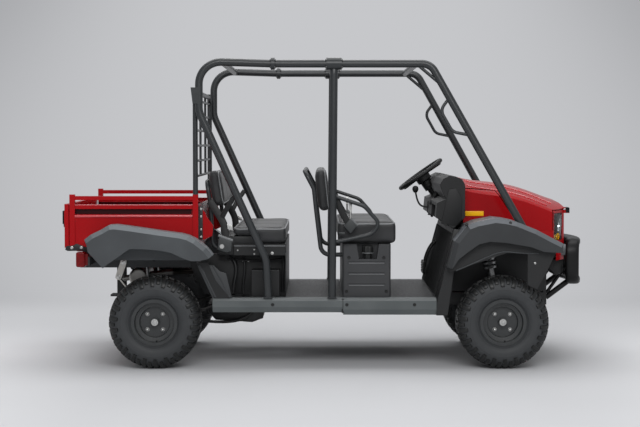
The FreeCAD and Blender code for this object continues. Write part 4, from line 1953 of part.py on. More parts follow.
def engine():
    """The engine under the rear bench: crankcase, finned heads, belt cover and air box."""
    x0, x1, y1 = ENGINE_REAR_X, ENGINE_FRONT_X, ENGINE_HALF_WIDTH
    feet = RAIL_CENTRE_Y + RAIL_WIDTH / 2
    block = box(x0, x1, -y1, y1, FRAME_TOP, mix(ENGINE_BOTTOM_Z, ENGINE_TOP_Z, CRANKCASE_SHARE))
    sole = box(x0 + ENGINE_SOLE_INSET, x1 - ENGINE_SOLE_INSET, -feet, feet, FRAME_TOP,
               FRAME_TOP + ENGINE_SOLE_HEIGHT)
    pieces = [block, sole]
    for side in (-1, 1):
        head_y = side * (y1 - HEAD_WIDTH / 2 - MOVING_GAP)
        base_z = mix(ENGINE_BOTTOM_Z, ENGINE_TOP_Z, HEAD_BASE_SHARE)
        core_half = HEAD_WIDTH * HEAD_CORE_SHARE / 2
        rear = x0 + HEAD_SETBACK
        core = box(rear, rear + HEAD_LENGTH, head_y - core_half, head_y + core_half, base_z, ENGINE_TOP_Z)
        pieces.append(core)
        for n in range(HEAD_FINS):
            z = ENGINE_TOP_Z - (n + 1) * HEAD_FIN_PITCH
            pieces.append(box(rear - HEAD_FIN_PROUD, rear + HEAD_LENGTH + HEAD_FIN_PROUD,
                              head_y - HEAD_WIDTH / 2, head_y + HEAD_WIDTH / 2, z, z + HEAD_FIN))
    return together(pieces + [belt_cover()])


def belt_cover():
    """The round-ended cover of the belt drive, on the engine's right-hand side."""
    z = ENGINE_BOTTOM_Z + BELT_COVER_RADIUS
    y0 = -ENGINE_HALF_WIDTH - BELT_COVER_THICKNESS
    rear = V(ENGINE_REAR_X - BELT_COVER_RADIUS / 2, y0, z)
    ahead = rear + X_AXIS * BELT_COVER_SPREAD
    depth = Y_AXIS * BELT_COVER_THICKNESS
    front_radius = BELT_COVER_RADIUS * BELT_COVER_FRONT_SHARE
    rear_radius = BELT_COVER_RADIUS * BELT_COVER_REAR_SHARE
    middle = box(rear.x, ahead.x, y0, y0 + BELT_COVER_THICKNESS, z - front_radius, z + front_radius)
    return together([rod(rear, rear + depth, rear_radius), rod(ahead, ahead + depth, front_radius), middle])


def air_box():
    """The intake's air box beside the engine, on the left-hand rail and outrigger."""
    x0 = ENGINE_FRONT_X - AIRBOX_LENGTH
    y0 = RAIL_CENTRE_Y + RAIL_WIDTH / 2 + MOVING_GAP
    y1 = y0 + AIRBOX_WIDTH
    case = box(x0, x0 + AIRBOX_LENGTH, y0, y1, AIRBOX_BOTTOM_Z, AIRBOX_BOTTOM_Z + AIRBOX_HEIGHT)
    foot = box(CAGE_FOOT_X, CAGE_FOOT_X + CROSS_WIDTH, y0 + BRACKET, y1 - BRACKET, FRAME_TOP,
               AIRBOX_BOTTOM_Z + BRACKET)
    mouth = V(x0 + AIRBOX_LENGTH / 2, y0 + BRACKET, AIRBOX_BOTTOM_Z + AIRBOX_HEIGHT / 2)
    duct = rod(mouth, mouth - Y_AXIS * DUCT_LENGTH, DUCT_RADIUS)
    return together([softened(case, BASE_CORNER), foot, duct])


def battery():
    """The battery in its tray at the right-hand end of the engine bay."""
    x0 = ENGINE_FRONT_X - BATTERY_LENGTH
    case = box(x0, x0 + BATTERY_LENGTH, -BATTERY_OUTER_Y, BATTERY_WIDTH - BATTERY_OUTER_Y,
               FRAME_TOP, FRAME_TOP + BATTERY_HEIGHT)
    return softened(case, PANEL)


def exhaust():
    """The exhaust pipe and the muffler that lies across the frame behind the axle."""
    y_mid = -MUFFLER_SHIFT
    centre = V(MUFFLER_X, y_mid, MUFFLER_Z)
    half = MUFFLER_LENGTH / 2
    can = softened(rod(centre - Y_AXIS * half, centre + Y_AXIS * half, MUFFLER_RADIUS), EXHAUST_RADIUS)
    path = [
        V(ENGINE_REAR_X, 0, MUFFLER_Z + EXHAUST_RADIUS),
        V(mix(ENGINE_REAR_X, MUFFLER_X, PIPE_BEND_SHARES[0]), 0, MUFFLER_Z + EXHAUST_RADIUS),
        V(mix(ENGINE_REAR_X, MUFFLER_X, PIPE_BEND_SHARES[1]), y_mid, MUFFLER_Z + EXHAUST_RADIUS),
        V(MUFFLER_X, y_mid, MUFFLER_Z),
    ]
    pipe = bent_tube(path, EXHAUST_RADIUS, MUFFLER_RADIUS * 2)
    outlet = centre - Y_AXIS * (half / 2)
    tail = rod(outlet - X_AXIS * (MUFFLER_RADIUS / 2),
               outlet - X_AXIS * (MUFFLER_RADIUS + TAIL_PIPE_LENGTH) - Z_AXIS * EXHAUST_RADIUS, EXHAUST_RADIUS)
    pieces = [can, pipe, tail]
    for side in (-1, 1):
        y = y_mid + side * half * MUFFLER_HANGER_SHARE
        pieces.append(box(MUFFLER_X - BRACKET, MUFFLER_X + BRACKET, y - BRACKET / 2, y + BRACKET / 2,
                          MUFFLER_Z, REAR_RAIL_BOTTOM))
    return together(pieces)


def tail_lamp():
    """The right-hand tail lamp: a lens block on its black base."""
    y0, y1 = -(TAIL_LAMP_Y + TAIL_LAMP_WIDTH / 2), -(TAIL_LAMP_Y - TAIL_LAMP_WIDTH / 2)
    z0, z1 = TAIL_LAMP_BOTTOM_Z, TAIL_LAMP_BOTTOM_Z + TAIL_LAMP_HEIGHT
    lens = softened(box(TAIL_LAMP_X, TAIL_LAMP_X + TAIL_LAMP_DEPTH, y0, y1, z0, z1), BED_LEDGE_HEIGHT)
    back = TAIL_LAMP_X + TAIL_LAMP_DEPTH
    base = box(back - BED_LEDGE_HEIGHT, back + TAIL_LAMP_BASE, y0 + BED_LEDGE_HEIGHT, y1 - BED_LEDGE_HEIGHT,
               z0 + BED_LEDGE_HEIGHT, z1 - BED_LEDGE_HEIGHT)
    return together([lens, base])


def front_seat_cushion():
    """The front bench's cushion, just over its box."""
    return cushion(FRONT_CUSHION_REAR_X, FRONT_CUSHION_FRONT_X, FRONT_BASE_TOP + GAP, CUSHION_THICKNESS)


def rear_seat_cushion():
    """The rear bench's cushion, just over its tray."""
    return cushion(REAR_CUSHION_REAR_X, REAR_CUSHION_FRONT_X, REAR_BASE_TOP + GAP, REAR_CUSHION_THICKNESS)


def front_seat_back():
    """The front bench's backrest."""
    return back_pad(FRONT_BACK_X, FRONT_BACK_Z, BACK_THICKNESS, BACK_HEIGHT, BACK_LEAN_DEG)


def rear_seat_back():
    """The rear bench's backrest."""
    return back_pad(REAR_BACK_X, REAR_BACK_Z, REAR_BACK_THICKNESS, REAR_BACK_HEIGHT, REAR_BACK_LEAN_DEG)


ON_THE_CENTRE = {
    "frame": frame,
    "rear_subframe": rear_subframe,
    "rear_crosses": rear_crosses,
    "front_subframe": front_subframe,
    "floor": floor,
    "side_sills": side_sills,
    "roll_cage_rear": roll_cage_rear,
    "roof_rails": roof_rails,
    "centre_hoop": centre_hoop,
    "roll_cage_front": roll_cage_front,
    "front_seat_base": seat_base_front,
    "front_seat_cushion": front_seat_cushion,
    "front_seat_back": front_seat_back,
    "front_seat_frame": front_seat_frame,
    "rear_seat_base": seat_base_rear,
    "rear_seat_cushion": rear_seat_cushion,
    "rear_seat_back": rear_seat_back,
    "rear_seat_frame": rear_seat_frame,
    "dashboard": dashboard,
    "steering_column": steering_column,
    "steering_wheel": steering_wheel,
    "cowl_panels": cowl_panels,
    "hood": hood,
    "front_panel": front_panel,
    "grille": grille,
    "front_guard": front_guard,
    "bed_tub": bed_tub,
    "bed_screen": bed_screen,
    "tailgate": tailgate,
    "rear_axle": rear_axle,
    "engine": engine,
    "air_box": air_box,
    "battery": battery,
    "exhaust": exhaust,
    "fuel_cap": fuel_cap,
    "rack_housing": rack_housing,
    "steering_rack": steering_rack,
}
IN_PAIRS = {
    "hip_guards": hip_guard,
    "headlamps": headlamp,
    "front_fenders": front_fender,
    "rear_fenders": rear_fender,
    "splash_guards": splash_guard,
    "bed_rails": bed_rail,
    "bed_wings": bed_wing,
    "leaf_springs": leaf_spring,
    "rear_dampers": damper,
    "tail_lamps": tail_lamp,
    "front_arms": front_arm,
}
LEFT_AND_RIGHT = {
    "knuckle": knuckle,
    "strut": strut,
    "tyre_front": front_tyre,
    "tyre_rear": rear_tyre,
    "rim_front": front_rim,
    "rim_rear": rear_rim,
}


def main():
    os.makedirs("parts", exist_ok=True)
    for name, make in ON_THE_CENTRE.items():
        make().exportStep(f"parts/{name}.step")
    for name, make in IN_PAIRS.items():
        pair(make()).exportStep(f"parts/{name}.step")
    for name, make in LEFT_AND_RIGHT.items():
        right = make()
        right.exportStep(f"parts/{name}_right.step")
        flipped(right).exportStep(f"parts/{name}_left.step")


main()
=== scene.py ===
from itertools import product
from math import cos, pi, radians, sin

import bpy
import numpy as np
from mathutils.bvhtree import BVHTree
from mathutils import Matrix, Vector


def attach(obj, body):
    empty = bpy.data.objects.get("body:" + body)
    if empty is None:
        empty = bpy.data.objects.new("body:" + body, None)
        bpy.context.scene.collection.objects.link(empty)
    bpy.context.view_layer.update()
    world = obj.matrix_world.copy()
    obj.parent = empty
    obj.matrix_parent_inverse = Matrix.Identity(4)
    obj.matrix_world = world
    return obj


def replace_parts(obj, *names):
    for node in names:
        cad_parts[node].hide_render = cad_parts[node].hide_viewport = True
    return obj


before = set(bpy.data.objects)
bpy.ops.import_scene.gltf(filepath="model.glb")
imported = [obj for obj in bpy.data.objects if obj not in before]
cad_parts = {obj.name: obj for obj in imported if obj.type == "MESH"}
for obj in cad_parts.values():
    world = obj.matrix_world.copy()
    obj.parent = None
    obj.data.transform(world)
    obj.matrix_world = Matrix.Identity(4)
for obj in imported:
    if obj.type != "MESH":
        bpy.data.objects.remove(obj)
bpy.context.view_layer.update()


# ---- Camera ----
# The studio camera stands on the near side, a little above the bed rails and level with the middle of
# the vehicle. It is tipped down by less than three degrees.
lens = bpy.data.cameras.new("camera")
lens.lens = 86.6
camera = bpy.data.objects.new("camera", lens)
camera.location = (-0.055, -10.256, 1.408)
camera.rotation_euler = (radians(87.4), 0, 0)
bpy.context.scene.collection.objects.link(camera)
bpy.context.scene.camera = camera
bpy.context.scene.view_settings.view_transform = "Standard"


# ---- Studio ----
# A pale paper sweep: it lies flat under the wheels and curves up far behind the vehicle. Two wide soft boxes
# hang over it and a third stands behind the camera.
class Value:
    """A number that changes over a surface. Arithmetic on it adds Math nodes to its recipe."""

    def __init__(self, recipe, socket):
        self.recipe, self.socket = recipe, socket

    def math(self, operation, *numbers):
        return self.recipe.node("ShaderNodeMath", {"operation": operation}, dict(enumerate(numbers)))

    def __add__(self, other): return self.math("ADD", self, other)
    def __sub__(self, other): return self.math("SUBTRACT", self, other)
    def __rsub__(self, other): return self.math("SUBTRACT", other, self)
    def __mul__(self, other): return self.math("MULTIPLY", self, other)
    def __truediv__(self, other): return self.math("DIVIDE", self, other)
    __radd__, __rmul__ = __add__, __mul__
    def absolute(self): return self.math("ABSOLUTE", self)
    def sine(self): return self.math("SINE", self)

    def above(self, low, high):
        """Rises smoothly from 0 at `low` to 1 at `high`."""
        return self.recipe.node("ShaderNodeMapRange", {"interpolation_type": "SMOOTHSTEP"},
                                {"Value": self, "From Min": low, "From Max": high})


class Recipe:
    """A node tree that is written as expressions."""

    def __init__(self, tree):
        self.tree = tree
        tree.nodes.clear()

    def node(self, kind, settings=None, inputs=None, out=0):
        """Adds a node: its settings first, then the values or links of its sockets."""
        node = self.tree.nodes.new(kind)
        for name, value in (settings or {}).items():
            setattr(node, name, value)
        for name, value in (inputs or {}).items():
            self.feed(node.inputs[name], value)
        return Value(self, node.outputs[out]) if node.outputs else node

    def feed(self, socket, value):
        if isinstance(value, Value):
            self.tree.links.new(value.socket, socket)
        else:
            socket.default_value = value

    def mix(self, first, second, factor):
        """Blends two colours. The Mix node's sockets 0, 6, 7 and 2 are its factor, colours and result."""
        return self.node("ShaderNodeMix", {"data_type": "RGBA"}, {0: factor, 6: first, 7: second}, 2)

    def place(self, kind="Object"):
        """Where a point lies on the whole vehicle, in metres, or which way it faces with "Normal"."""
        return self.node("ShaderNodeTexCoord", out=kind)

    def axes(self, kind="Object"):
        """The three parts of a place: ahead, to the left, and up."""
        split = self.node("ShaderNodeSeparateXYZ", inputs={"Vector": self.place(kind)}).socket.node
        return [Value(self, socket) for socket in split.outputs]

    def noise(self, size, detail=2):
        """Noise from 0 to 1 whose blotches are about `size` metres across."""
        return self.node("ShaderNodeTexNoise", inputs={"Vector": self.place(), "Scale": 1 / size, "Detail": detail})

    def cells(self, size):
        """Distance to the nearest of scattered points about `size` metres apart."""
        return self.node("ShaderNodeTexVoronoi", inputs={"Vector": self.place(), "Scale": 1 / size})


def srgb(red, green, blue):
    """A colour as it reads on screen, from 0 to 255, turned to the linear values that shaders use."""
    shares = np.array([red, green, blue]) / 255
    return (*np.where(shares < 0.04045, shares / 12.92, ((shares + 0.055) / 1.055) ** 2.4), 1.0)


def seen(recipe):
    """1 where the camera looks at a surface, directly or through gloss or glass."""
    rays = recipe.node("ShaderNodeLightPath").socket.node.outputs
    looks, shines, passes = (Value(recipe, rays[f"Is {kind} Ray"]) for kind in ("Camera", "Glossy", "Transmission"))
    return (looks + shines + passes).above(0, 1)


def sweep_surface(width=22.0, front=-22.0, back=16.0, bend=2.6, top=9.0):
    """Flat floor from `front` to `back`, a quarter circle of radius `bend`, then a wall: a line carried sideways."""
    turn = np.linspace(0, pi / 2, 24)
    line = np.concatenate([[[front, 0]], np.stack([back + bend * np.sin(turn), bend * (1 - np.cos(turn))], 1),
                           [[back + bend, top]]])
    grid = np.empty((len(line), 3, 3))
    grid[..., 0], grid[..., 1:] = np.linspace(-width, width, 3), line[:, None]
    index = np.arange(len(line) * 3).reshape(-1, 3)
    faces = np.stack([index[:-1, :-1], index[:-1, 1:], index[1:, 1:], index[1:, :-1]], -1).reshape(-1, 4)
    mesh = bpy.data.meshes.new("studio_sweep")
    mesh.from_pydata(grid.reshape(-1, 3), [], faces.tolist())
    mesh.polygons.foreach_set("use_smooth", np.ones(len(faces), bool))
    return mesh


sweep = bpy.data.objects.new("studio_sweep", sweep_surface())
bpy.context.scene.collection.objects.link(sweep)
paper = bpy.data.materials.new("pale_paper")
paper.use_nodes = True
recipe = Recipe(paper.node_tree)
across, back, up = recipe.axes()
# The wall darkens to the sides of the picture, most in its corners: `wide` and `tall` are where the camera sees
# a place, sideways over its distance, and up from the floor line in shares of the wall's seen height.
away = back - camera.location.y
wide, tall = across / away, (up - camera.location.z) / away * 15.06 + 0.608
corner_shade = (wide * wide * (tall * tall * 4.03 + 15.1)).above(0, 1.6)
wall = recipe.mix(srgb(198, 199, 202), srgb(168, 169, 172), corner_shade)
# Painted light: the floor is painted lighter towards the sides near the camera, fading out further back.
painted_side_light = (across.absolute() + recipe.noise(2.5)).above(1.6, 3.2) * (1 - back.above(-0.2, 1.8))
floor = recipe.mix(srgb(205, 206, 209), srgb(226, 227, 230), painted_side_light)
backdrop = recipe.node("ShaderNodeMixShader", inputs={
    0: back.above(2.4, 4.2) * seen(recipe),
    1: recipe.node("ShaderNodeBsdfDiffuse", inputs={"Color": floor}),
    2: recipe.node("ShaderNodeEmission", inputs={"Color": wall})})
recipe.node("ShaderNodeOutputMaterial", inputs={"Surface": backdrop})
sweep.data.materials.append(paper)

world = bpy.data.worlds.new("studio_air")
world.use_nodes = True
bpy.context.scene.world = world
recipe = Recipe(world.node_tree)
air = recipe.node("ShaderNodeMixShader", inputs={
    0: seen(recipe),
    1: recipe.node("ShaderNodeBackground", inputs={"Color": srgb(255, 255, 255), "Strength": 0.46}),
    2: recipe.node("ShaderNodeBackground", inputs={"Color": srgb(190, 191, 194), "Strength": 0.85})})
recipe.node("ShaderNodeOutputWorld", inputs={"Surface": air})


def soft_box(name, place, target, size, power):
    """A rectangular lamp at `place` that faces `target`."""
    lamp = bpy.data.lights.new(name, "AREA")
    lamp.shape, lamp.size, lamp.size_y, lamp.energy = "RECTANGLE", *size, power
    holder = bpy.data.objects.new(name, lamp)
    holder.location = place
    holder.rotation_euler = (Vector(target) - Vector(place)).to_track_quat("-Z", "Y").to_euler()
    bpy.context.scene.collection.objects.link(holder)


soft_box("top_box", (0, 0.2, 5.2), (0, 0, 0.5), (6.5, 3.2), 135)
soft_box("front_box", (0.5, -7.5, 5.0), (0, 0, 0.8), (6, 3), 300)
soft_box("rear_box", (-1, 4.4, 4.6), (0, 0, 1.0), (5, 1.2), 70)


# ---- Painted body panels ----
# Hood, cowl, nose, cargo bed and tailgate are pressed steel in deep red enamel. It is sprayed and baked,
# so it is very smooth, with a faint orange peel and a soft light along every folded edge.
class Finish(Recipe):
    """A material of one Principled shader. Even values go on its own sockets, changing ones through nodes."""

    def __init__(self, name, **even):
        self.material = bpy.data.materials.new(name)
        self.material.use_nodes = True
        super().__init__(self.material.node_tree)
        self.shader = self.tree.nodes.new("ShaderNodeBsdfPrincipled")
        self.tree.links.new(self.shader.outputs[0], self.tree.nodes.new("ShaderNodeOutputMaterial").inputs[0])
        for name, value in even.items():
            self.shader.inputs[name.replace("_", " ")].default_value = value

    def varies(self, **inputs):
        for name, value in inputs.items():
            self.feed(self.shader.inputs[name.replace("_", " ")], value)
        return self

    def shades(self, dark, light, share, rough, spread, size=0.01):
        """Base colour from `dark` to `light` by `share`; roughness from `rough` up by `spread` times a noise."""
        return self.varies(Base_Color=self.mix(srgb(*dark), srgb(*light), share),
                           Roughness=self.noise(size) * spread + rough)

    def relief(self, height, depth, edge=None, strength=1.0):
        """Bumps up to `depth` metres deep; with `edge`, sharp folds catch light as if rounded to that radius."""
        inputs = {"Height": height, "Distance": depth, "Strength": strength}
        if edge:
            inputs["Normal"] = self.node("ShaderNodeBevel", {"samples": 4}, {"Radius": edge})
        return self.varies(Normal=self.node("ShaderNodeBump", inputs=inputs))


def dress(finish, *names):
    """Gives CAD nodes a finish."""
    for name in names:
        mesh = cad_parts[name].data
        mesh.materials.clear()
        mesh.materials.append(finish.material)


red = Finish("red_enamel", Specular_IOR_Level=0.14, Coat_Weight=0.14, Coat_Roughness=0.04)
cloud = red.noise(0.35)
ahead, left, high = red.axes()
side = left.absolute()
hinge_lug = ahead.above(1.537, 1.538) * side.above(0.20, 0.201) * high.above(0.96, 0.961)
latch = 1 - ahead.above(-1.656, -1.655)
# Painted shade: the recessed groove along each bed side is painted near black, where shade falls in it.
groove_shade = (high.above(0.966, 0.967) - high.above(0.997, 0.998)) * (side.above(0.60, 0.601) - side.above(0.631, 0.632))
enamel = red.mix(srgb(155, 6, 13), srgb(168, 9, 17), cloud)
enamel = red.mix(enamel, srgb(50, 2, 5), groove_shade * (1 - ahead.above(-0.861, -0.86)))
red.varies(Base_Color=red.mix(enamel, srgb(22, 23, 24), (hinge_lug + latch).above(0, 1)), Roughness=cloud * 0.08 + 0.2)
red.relief(red.noise(0.006, 1), 0.00004, edge=0.004)
dress(red, "hood", "cowl_panels", "front_panel", "bed_tub", "bed_rails", "tailgate", "bed_wings")


# ---- Frame and roll cage ----
# Steel tube and folded sheet, welded, then powder coated. The cage is charcoal satin with a fine texture
# and the frame under it is plain black with road dust in its corners.
tube_coat = Finish("charcoal_powder", Specular_IOR_Level=0.5)
grain = tube_coat.noise(0.0025, 1)
tube_coat.shades((34, 37, 39), (44, 47, 49), tube_coat.noise(0.12), 0.3, 0.12, 0.08)
tube_coat.relief(grain, 0.0002, strength=0.35)
dress(tube_coat, "roll_cage_rear", "roof_rails", "centre_hoop", "roll_cage_front", "front_seat_frame",
      "rear_seat_frame", "hip_guards", "bed_screen")
frame_coat = Finish("black_frame_coat")
dust = frame_coat.noise(0.06, 4)
frame_coat.varies(Base_Color=frame_coat.mix(srgb(24, 25, 26), srgb(47, 48, 49), dust.above(0.45, 0.8)),
                  Roughness=dust * 0.3 + 0.32)
frame_coat.relief(frame_coat.noise(0.004, 1), 0.0003, edge=0.003, strength=0.4)
dress(frame_coat, "frame", "rear_crosses", "front_subframe", "front_guard", "rear_axle", "front_arms",
      "rack_housing")


# ---- Moulded plastic ----
# Fenders, sills, seat boxes and the dashboard are injection moulded in through-coloured plastic with a
# fine leather grain. Faces that look up are painted lighter, a painted light from above.
def moulded(name, dark, light, rough=0.46, grain=0.0022, edge=0.004, top_light=None, within=None):
    """Through-coloured plastic: two near shades in wide clouds under a fine pebble grain. Faces that look up and
    out are painted lighter to the shade `top_light`, a painted light from above; upright faces less than `within`
    metres out are painted near black, a painted shade."""
    made = Finish(name, Specular_IOR_Level=0.42)
    clouds = made.noise(0.25, 3)
    shade = made.mix(srgb(*dark), srgb(*light), clouds.above(0.3, 0.7))
    # Painted light: faces that look up and out are painted lighter, as if lit from above.
    if top_light:
        facing = made.axes("Normal")[2]
        shade = made.mix(shade, srgb(*top_light), facing.above(0.3, 0.75))
    if within:
        # Painted shade: upright faces within `within` metres of the middle are painted near black.
        shaded = (1 - made.axes()[1].absolute().above(within, within + 0.002)) * (1 - facing.absolute().above(0.2, 0.4))
        shade = made.mix(shade, srgb(27, 28, 29), shaded)
    made.varies(Base_Color=shade, Roughness=clouds * 0.12 + rough)
    return made.relief(made.cells(grain), 0.00025, edge=edge, strength=0.3)


dress(moulded("front_fender_plastic", (43, 45, 47), (49, 51, 53), top_light=(108, 112, 117), within=0.75), "front_fenders")
dress(moulded("rear_fender_plastic", (63, 66, 69), (71, 75, 78), top_light=(118, 123, 127)), "rear_fenders")
dress(moulded("sill_plastic", (80, 85, 86), (90, 95, 96), top_light=(98, 102, 103)), "side_sills")
dress(moulded("seat_box_plastic", (50, 51, 53), (58, 59, 61)), "front_seat_base")
dash_plastic = moulded("dashboard_plastic", (13, 14, 15), (20, 21, 22), 0.5)
dress(dash_plastic, "dashboard", "steering_column", "steering_wheel")
black_plastic = moulded("black_plastic", (17, 18, 19), (25, 26, 27), 0.4)
dress(black_plastic, "splash_guards", "grille", "air_box", "battery", "fuel_cap", "rear_seat_base")


# ---- Floor ----
# The floor pan and toe board are black plastic with a pebbled tread that keeps boots from slipping.
# The gaps between the pebbles are painted darker than their tops, a painted shade.
floor_plastic = Finish("floor_plastic", Specular_IOR_Level=0.35)
pebbles = floor_plastic.cells(0.011)
dust = floor_plastic.noise(0.2, 4)
toe = floor_plastic.axes()[0].above(0.664, 0.672)
# Painted shade: gaps between the pebbles are darker, by an amount that varies over the floor.
floor_plastic.varies(
    Base_Color=floor_plastic.mix(
        floor_plastic.mix(srgb(66, 67, 69), srgb(30, 31, 32), pebbles.above(0.25, 0.6) * (dust * 0.4 + 0.6)),
        srgb(12, 13, 14), toe),
    Roughness=pebbles * 0.3 + 0.42)
floor_plastic.relief(1 - pebbles, 0.0012, strength=0.6)
dress(floor_plastic, "floor")


# ---- Engine, exhaust and running gear ----
# Cast aluminium engine, aluminised muffler with a heat-stained mouth, zinc plated shackles on black leaf
# springs, and bare machined steel where parts slide or turn.
def metal(name, dark, light, rough, size=0.03, depth=0.0003, metallic=0.9):
    """Metal in two shades, its roughness and relief from one noise."""
    made = Finish(name)
    stain, pits = made.noise(size * 4, 4), made.noise(size / 8, 3)
    made.varies(Base_Color=made.mix(srgb(*dark), srgb(*light), stain.above(0.35, 0.65)),
                Roughness=stain * 0.2 + rough, Metallic=stain * 0.2 + metallic - 0.1)
    return made.relief(pits, depth, edge=0.0015, strength=0.5)


cast = metal("cast_aluminium", (92, 94, 96), (126, 128, 130), 0.42)
bare = metal("machined_steel", (120, 121, 122), (160, 161, 160), 0.28, depth=0.0001)
muffler = metal("aluminised_steel", (120, 118, 114), (176, 174, 170), 0.3, depth=0.0001)
dress(cast, "engine")
soot = muffler.noise(0.08, 4)
muffler.varies(Base_Color=muffler.mix(muffler.mix(srgb(120, 118, 114), srgb(176, 174, 170), soot),
                                      muffler.mix(srgb(30, 28, 27), srgb(52, 47, 43), soot),
                                      muffler.axes()[0].above(-1.04, -1.02)))
dress(muffler, "exhaust")
dress(bare, "rear_dampers", "steering_rack", "strut_right", "strut_left", "knuckle_right", "knuckle_left")
dress(metal("satin_grey_coat", (42, 44, 46), (54, 56, 58), 0.34, metallic=0.3), "rear_subframe")
spring_steel = Finish("spring_steel")
ahead, left, high = spring_steel.axes()
plated = (1 - ahead.above(-1.296, -1.292)) * left.absolute().above(0.41, 0.414)
patina = spring_steel.noise(0.03, 3)
spring_steel.varies(
    Base_Color=spring_steel.mix(spring_steel.mix(srgb(34, 35, 36), srgb(52, 50, 48), patina),
                                spring_steel.mix(srgb(192, 190, 184), srgb(218, 216, 210), patina), plated),
    Metallic=plated * 0.6 + 0.1, Roughness=patina * 0.2 + 0.34)
spring_steel.relief(patina, 0.0003, edge=0.002, strength=0.4)
dress(spring_steel, "leaf_springs")


# ---- Lamps ----
# Clear polycarbonate headlamps with chromed bowls, and moulded red tail lamps.
clear = Finish("lamp_lens", Transmission_Weight=1.0, IOR=1.45)
clear.shades((236, 240, 242), (222, 228, 232), clear.noise(0.05), 0.02, 0.04, 0.02)
dress(clear, "headlamps")
tail = Finish("red_lens", Specular_IOR_Level=0.2, Coat_Weight=0.2, Coat_Roughness=0.04)
tail.shades((96, 3, 7), (128, 6, 10), tail.cells(0.012), 0.2, 0.1, 0.02)
dress(tail, "tail_lamps")


# ---- Tyres ----
# Four bias-ply all-terrain tyres in black rubber, moulded with chunky lugs that wrap over the shoulders
# and smooth side walls. Each is seated on its rim's beads by air pressure.
def flow(points, count):
    """A cubic B-spline that starts on its first point and ends on its last, at `count` even steps."""
    p = np.asarray(points, float)
    p = np.concatenate([p[:1], p[:1], p, p[-1:], p[-1:]])
    t = np.linspace(0, len(p) - 3 - 1e-9, count)
    i, f = t.astype(int), (t % 1)[:, None]
    return ((1 - f) ** 3 * p[i] + (3 * f ** 3 - 6 * f ** 2 + 4) * p[i + 1]
            + (3 * f + 3 * f ** 2 - 3 * f ** 3 + 1) * p[i + 2] + f ** 3 * p[i + 3]) / 6


def unit(rows):
    """Each row over its own length."""
    return rows / np.linalg.norm(rows, axis=1, keepdims=True)


def wave(steps):
    """Cosine and sine of even steps once round."""
    angle = np.arange(steps) * 2 * pi / steps
    return np.cos(angle), np.sin(angle)


def closed(rings, ends=True):
    """A closed shell over rings of points: rows joined in order, columns joined round, the end rows capped.
    Without `ends` the last row joins the first. It is turned to face outwards by the sign of its volume."""
    rows, columns = rings.shape[:2]
    index = np.arange(rows * columns).reshape(rows, columns)
    after = np.roll(index, -1, 0) if not ends else index[1:]
    here = index if not ends else index[:-1]
    quads = np.stack([here, np.roll(here, -1, 1), np.roll(after, -1, 1), after], -1).reshape(-1, 4)
    faces = quads.tolist() + ([index[0, ::-1].tolist(), index[-1].tolist()] if ends else [])
    points = rings.reshape(-1, 3)
    a, b, c, d = (points[quads[:, k]] for k in range(4))
    volume = (np.cross(a, b) * c).sum() + (np.cross(a, c) * d).sum()
    if ends:
        for row, turn in ((rings[0], -1), (rings[-1], 1)):
            volume += turn * (np.cross(row[1:-1], row[2:]) * row[0]).sum()
    return points, ([face[::-1] for face in faces] if volume < 0 else faces)


def piece(name, shells, finish, slot="dark_plastic", body="chassis", fold=35, **marks):
    """One mesh from closed shells, smooth but for folds sharper than `fold` degrees, riding on a body.
    `marks` are named values of its points that the finish reads."""
    starts = np.cumsum([0] + [len(points) for points, _ in shells])
    faces = [[corner + start for corner in face] for (_, rows), start in zip(shells, starts.tolist()) for face in rows]
    mesh = bpy.data.meshes.new(name)
    mesh.from_pydata(np.concatenate([points for points, _ in shells]), [], faces)
    mesh.polygons.foreach_set("use_smooth", np.ones(len(faces), bool))
    mesh.set_sharp_from_angle(angle=radians(fold))
    for mark, values in marks.items():
        mesh.attributes.new(mark, "FLOAT", "POINT").data.foreach_set("value", np.asarray(values, np.float32))
    mesh.materials.append(finish.material)
    made = bpy.data.objects.new(name, mesh)
    bpy.context.scene.collection.objects.link(made)
    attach(made, body)
    return made


WALL = flow([(0.1293, 0.0995), (0.146, 0.1002), (0.152, 0.1075), (0.162, 0.119), (0.174, 0.1275), (0.190, 0.1315),
             (0.207, 0.1325), (0.223, 0.131), (0.238, 0.127), (0.252, 0.121), (0.264, 0.112), (0.2725, 0.097),
             (0.277, 0.075), (0.279, 0.045), (0.2795, 0.015), (0.2795, 0.0)], 400)[::-1]
REACH = np.concatenate([[0], np.cumsum(np.hypot(*np.diff(WALL, axis=0).T))])


def on_wall(turn, reach, height):
    """Points on the tyre about its own centre: `turn` round the axle, `reach` along the section from the crown
    to either bead (signed), and `height` out along the section's normal. Returned as x, y, z."""
    side, run = np.sign(reach) + (reach == 0), np.abs(reach)
    radius, width = (np.interp(run, REACH, WALL[:, k]) for k in (0, 1))
    slope = np.gradient(WALL, REACH, axis=0)
    out_r, out_w = np.interp(run, REACH, slope[:, 1]), -np.interp(run, REACH, slope[:, 0])
    radius, width = radius + out_r * height, side * (width + out_w * height)
    return np.stack([radius * np.sin(turn), width, radius * np.cos(turn)], -1)


def carcass():
    """The smooth body: the section carried round, with a rim-guard rib and a fine wear line raised on each wall."""
    rim_guard, wear_line, shoulder = 0.2245, 0.172, 0.2
    even = np.linspace(0, shoulder, 26), np.linspace(shoulder, REACH[-1], 26)[1:]
    near = rim_guard + np.array([-3, -1.5, 0, 1.5, 3]) * 0.001, wear_line + np.array([-1.5, 0, 1.5]) * 0.0008
    runs = np.unique(np.concatenate([*even, *near]))
    reach = np.concatenate([-runs[::-1], runs[1:]])
    rib = sum(height * np.exp(-((np.abs(reach) - at) / width) ** 2)
              for at, height, width in ((rim_guard, 0.0016, 0.0017), (wear_line, 0.0007, 0.0009)))
    turn = np.linspace(0, 2 * pi, 160, endpoint=False)
    rings = on_wall(turn[None, :] + 0 * reach[:, None], reach[:, None] + 0 * turn, rib[:, None] + 0 * turn)
    lining = rings[[-1, 0]] * [0.985, 0.9, 0.985]  # the beads' inner edges, a little inside and under them
    return closed(np.concatenate([rings, lining]), ends=False)


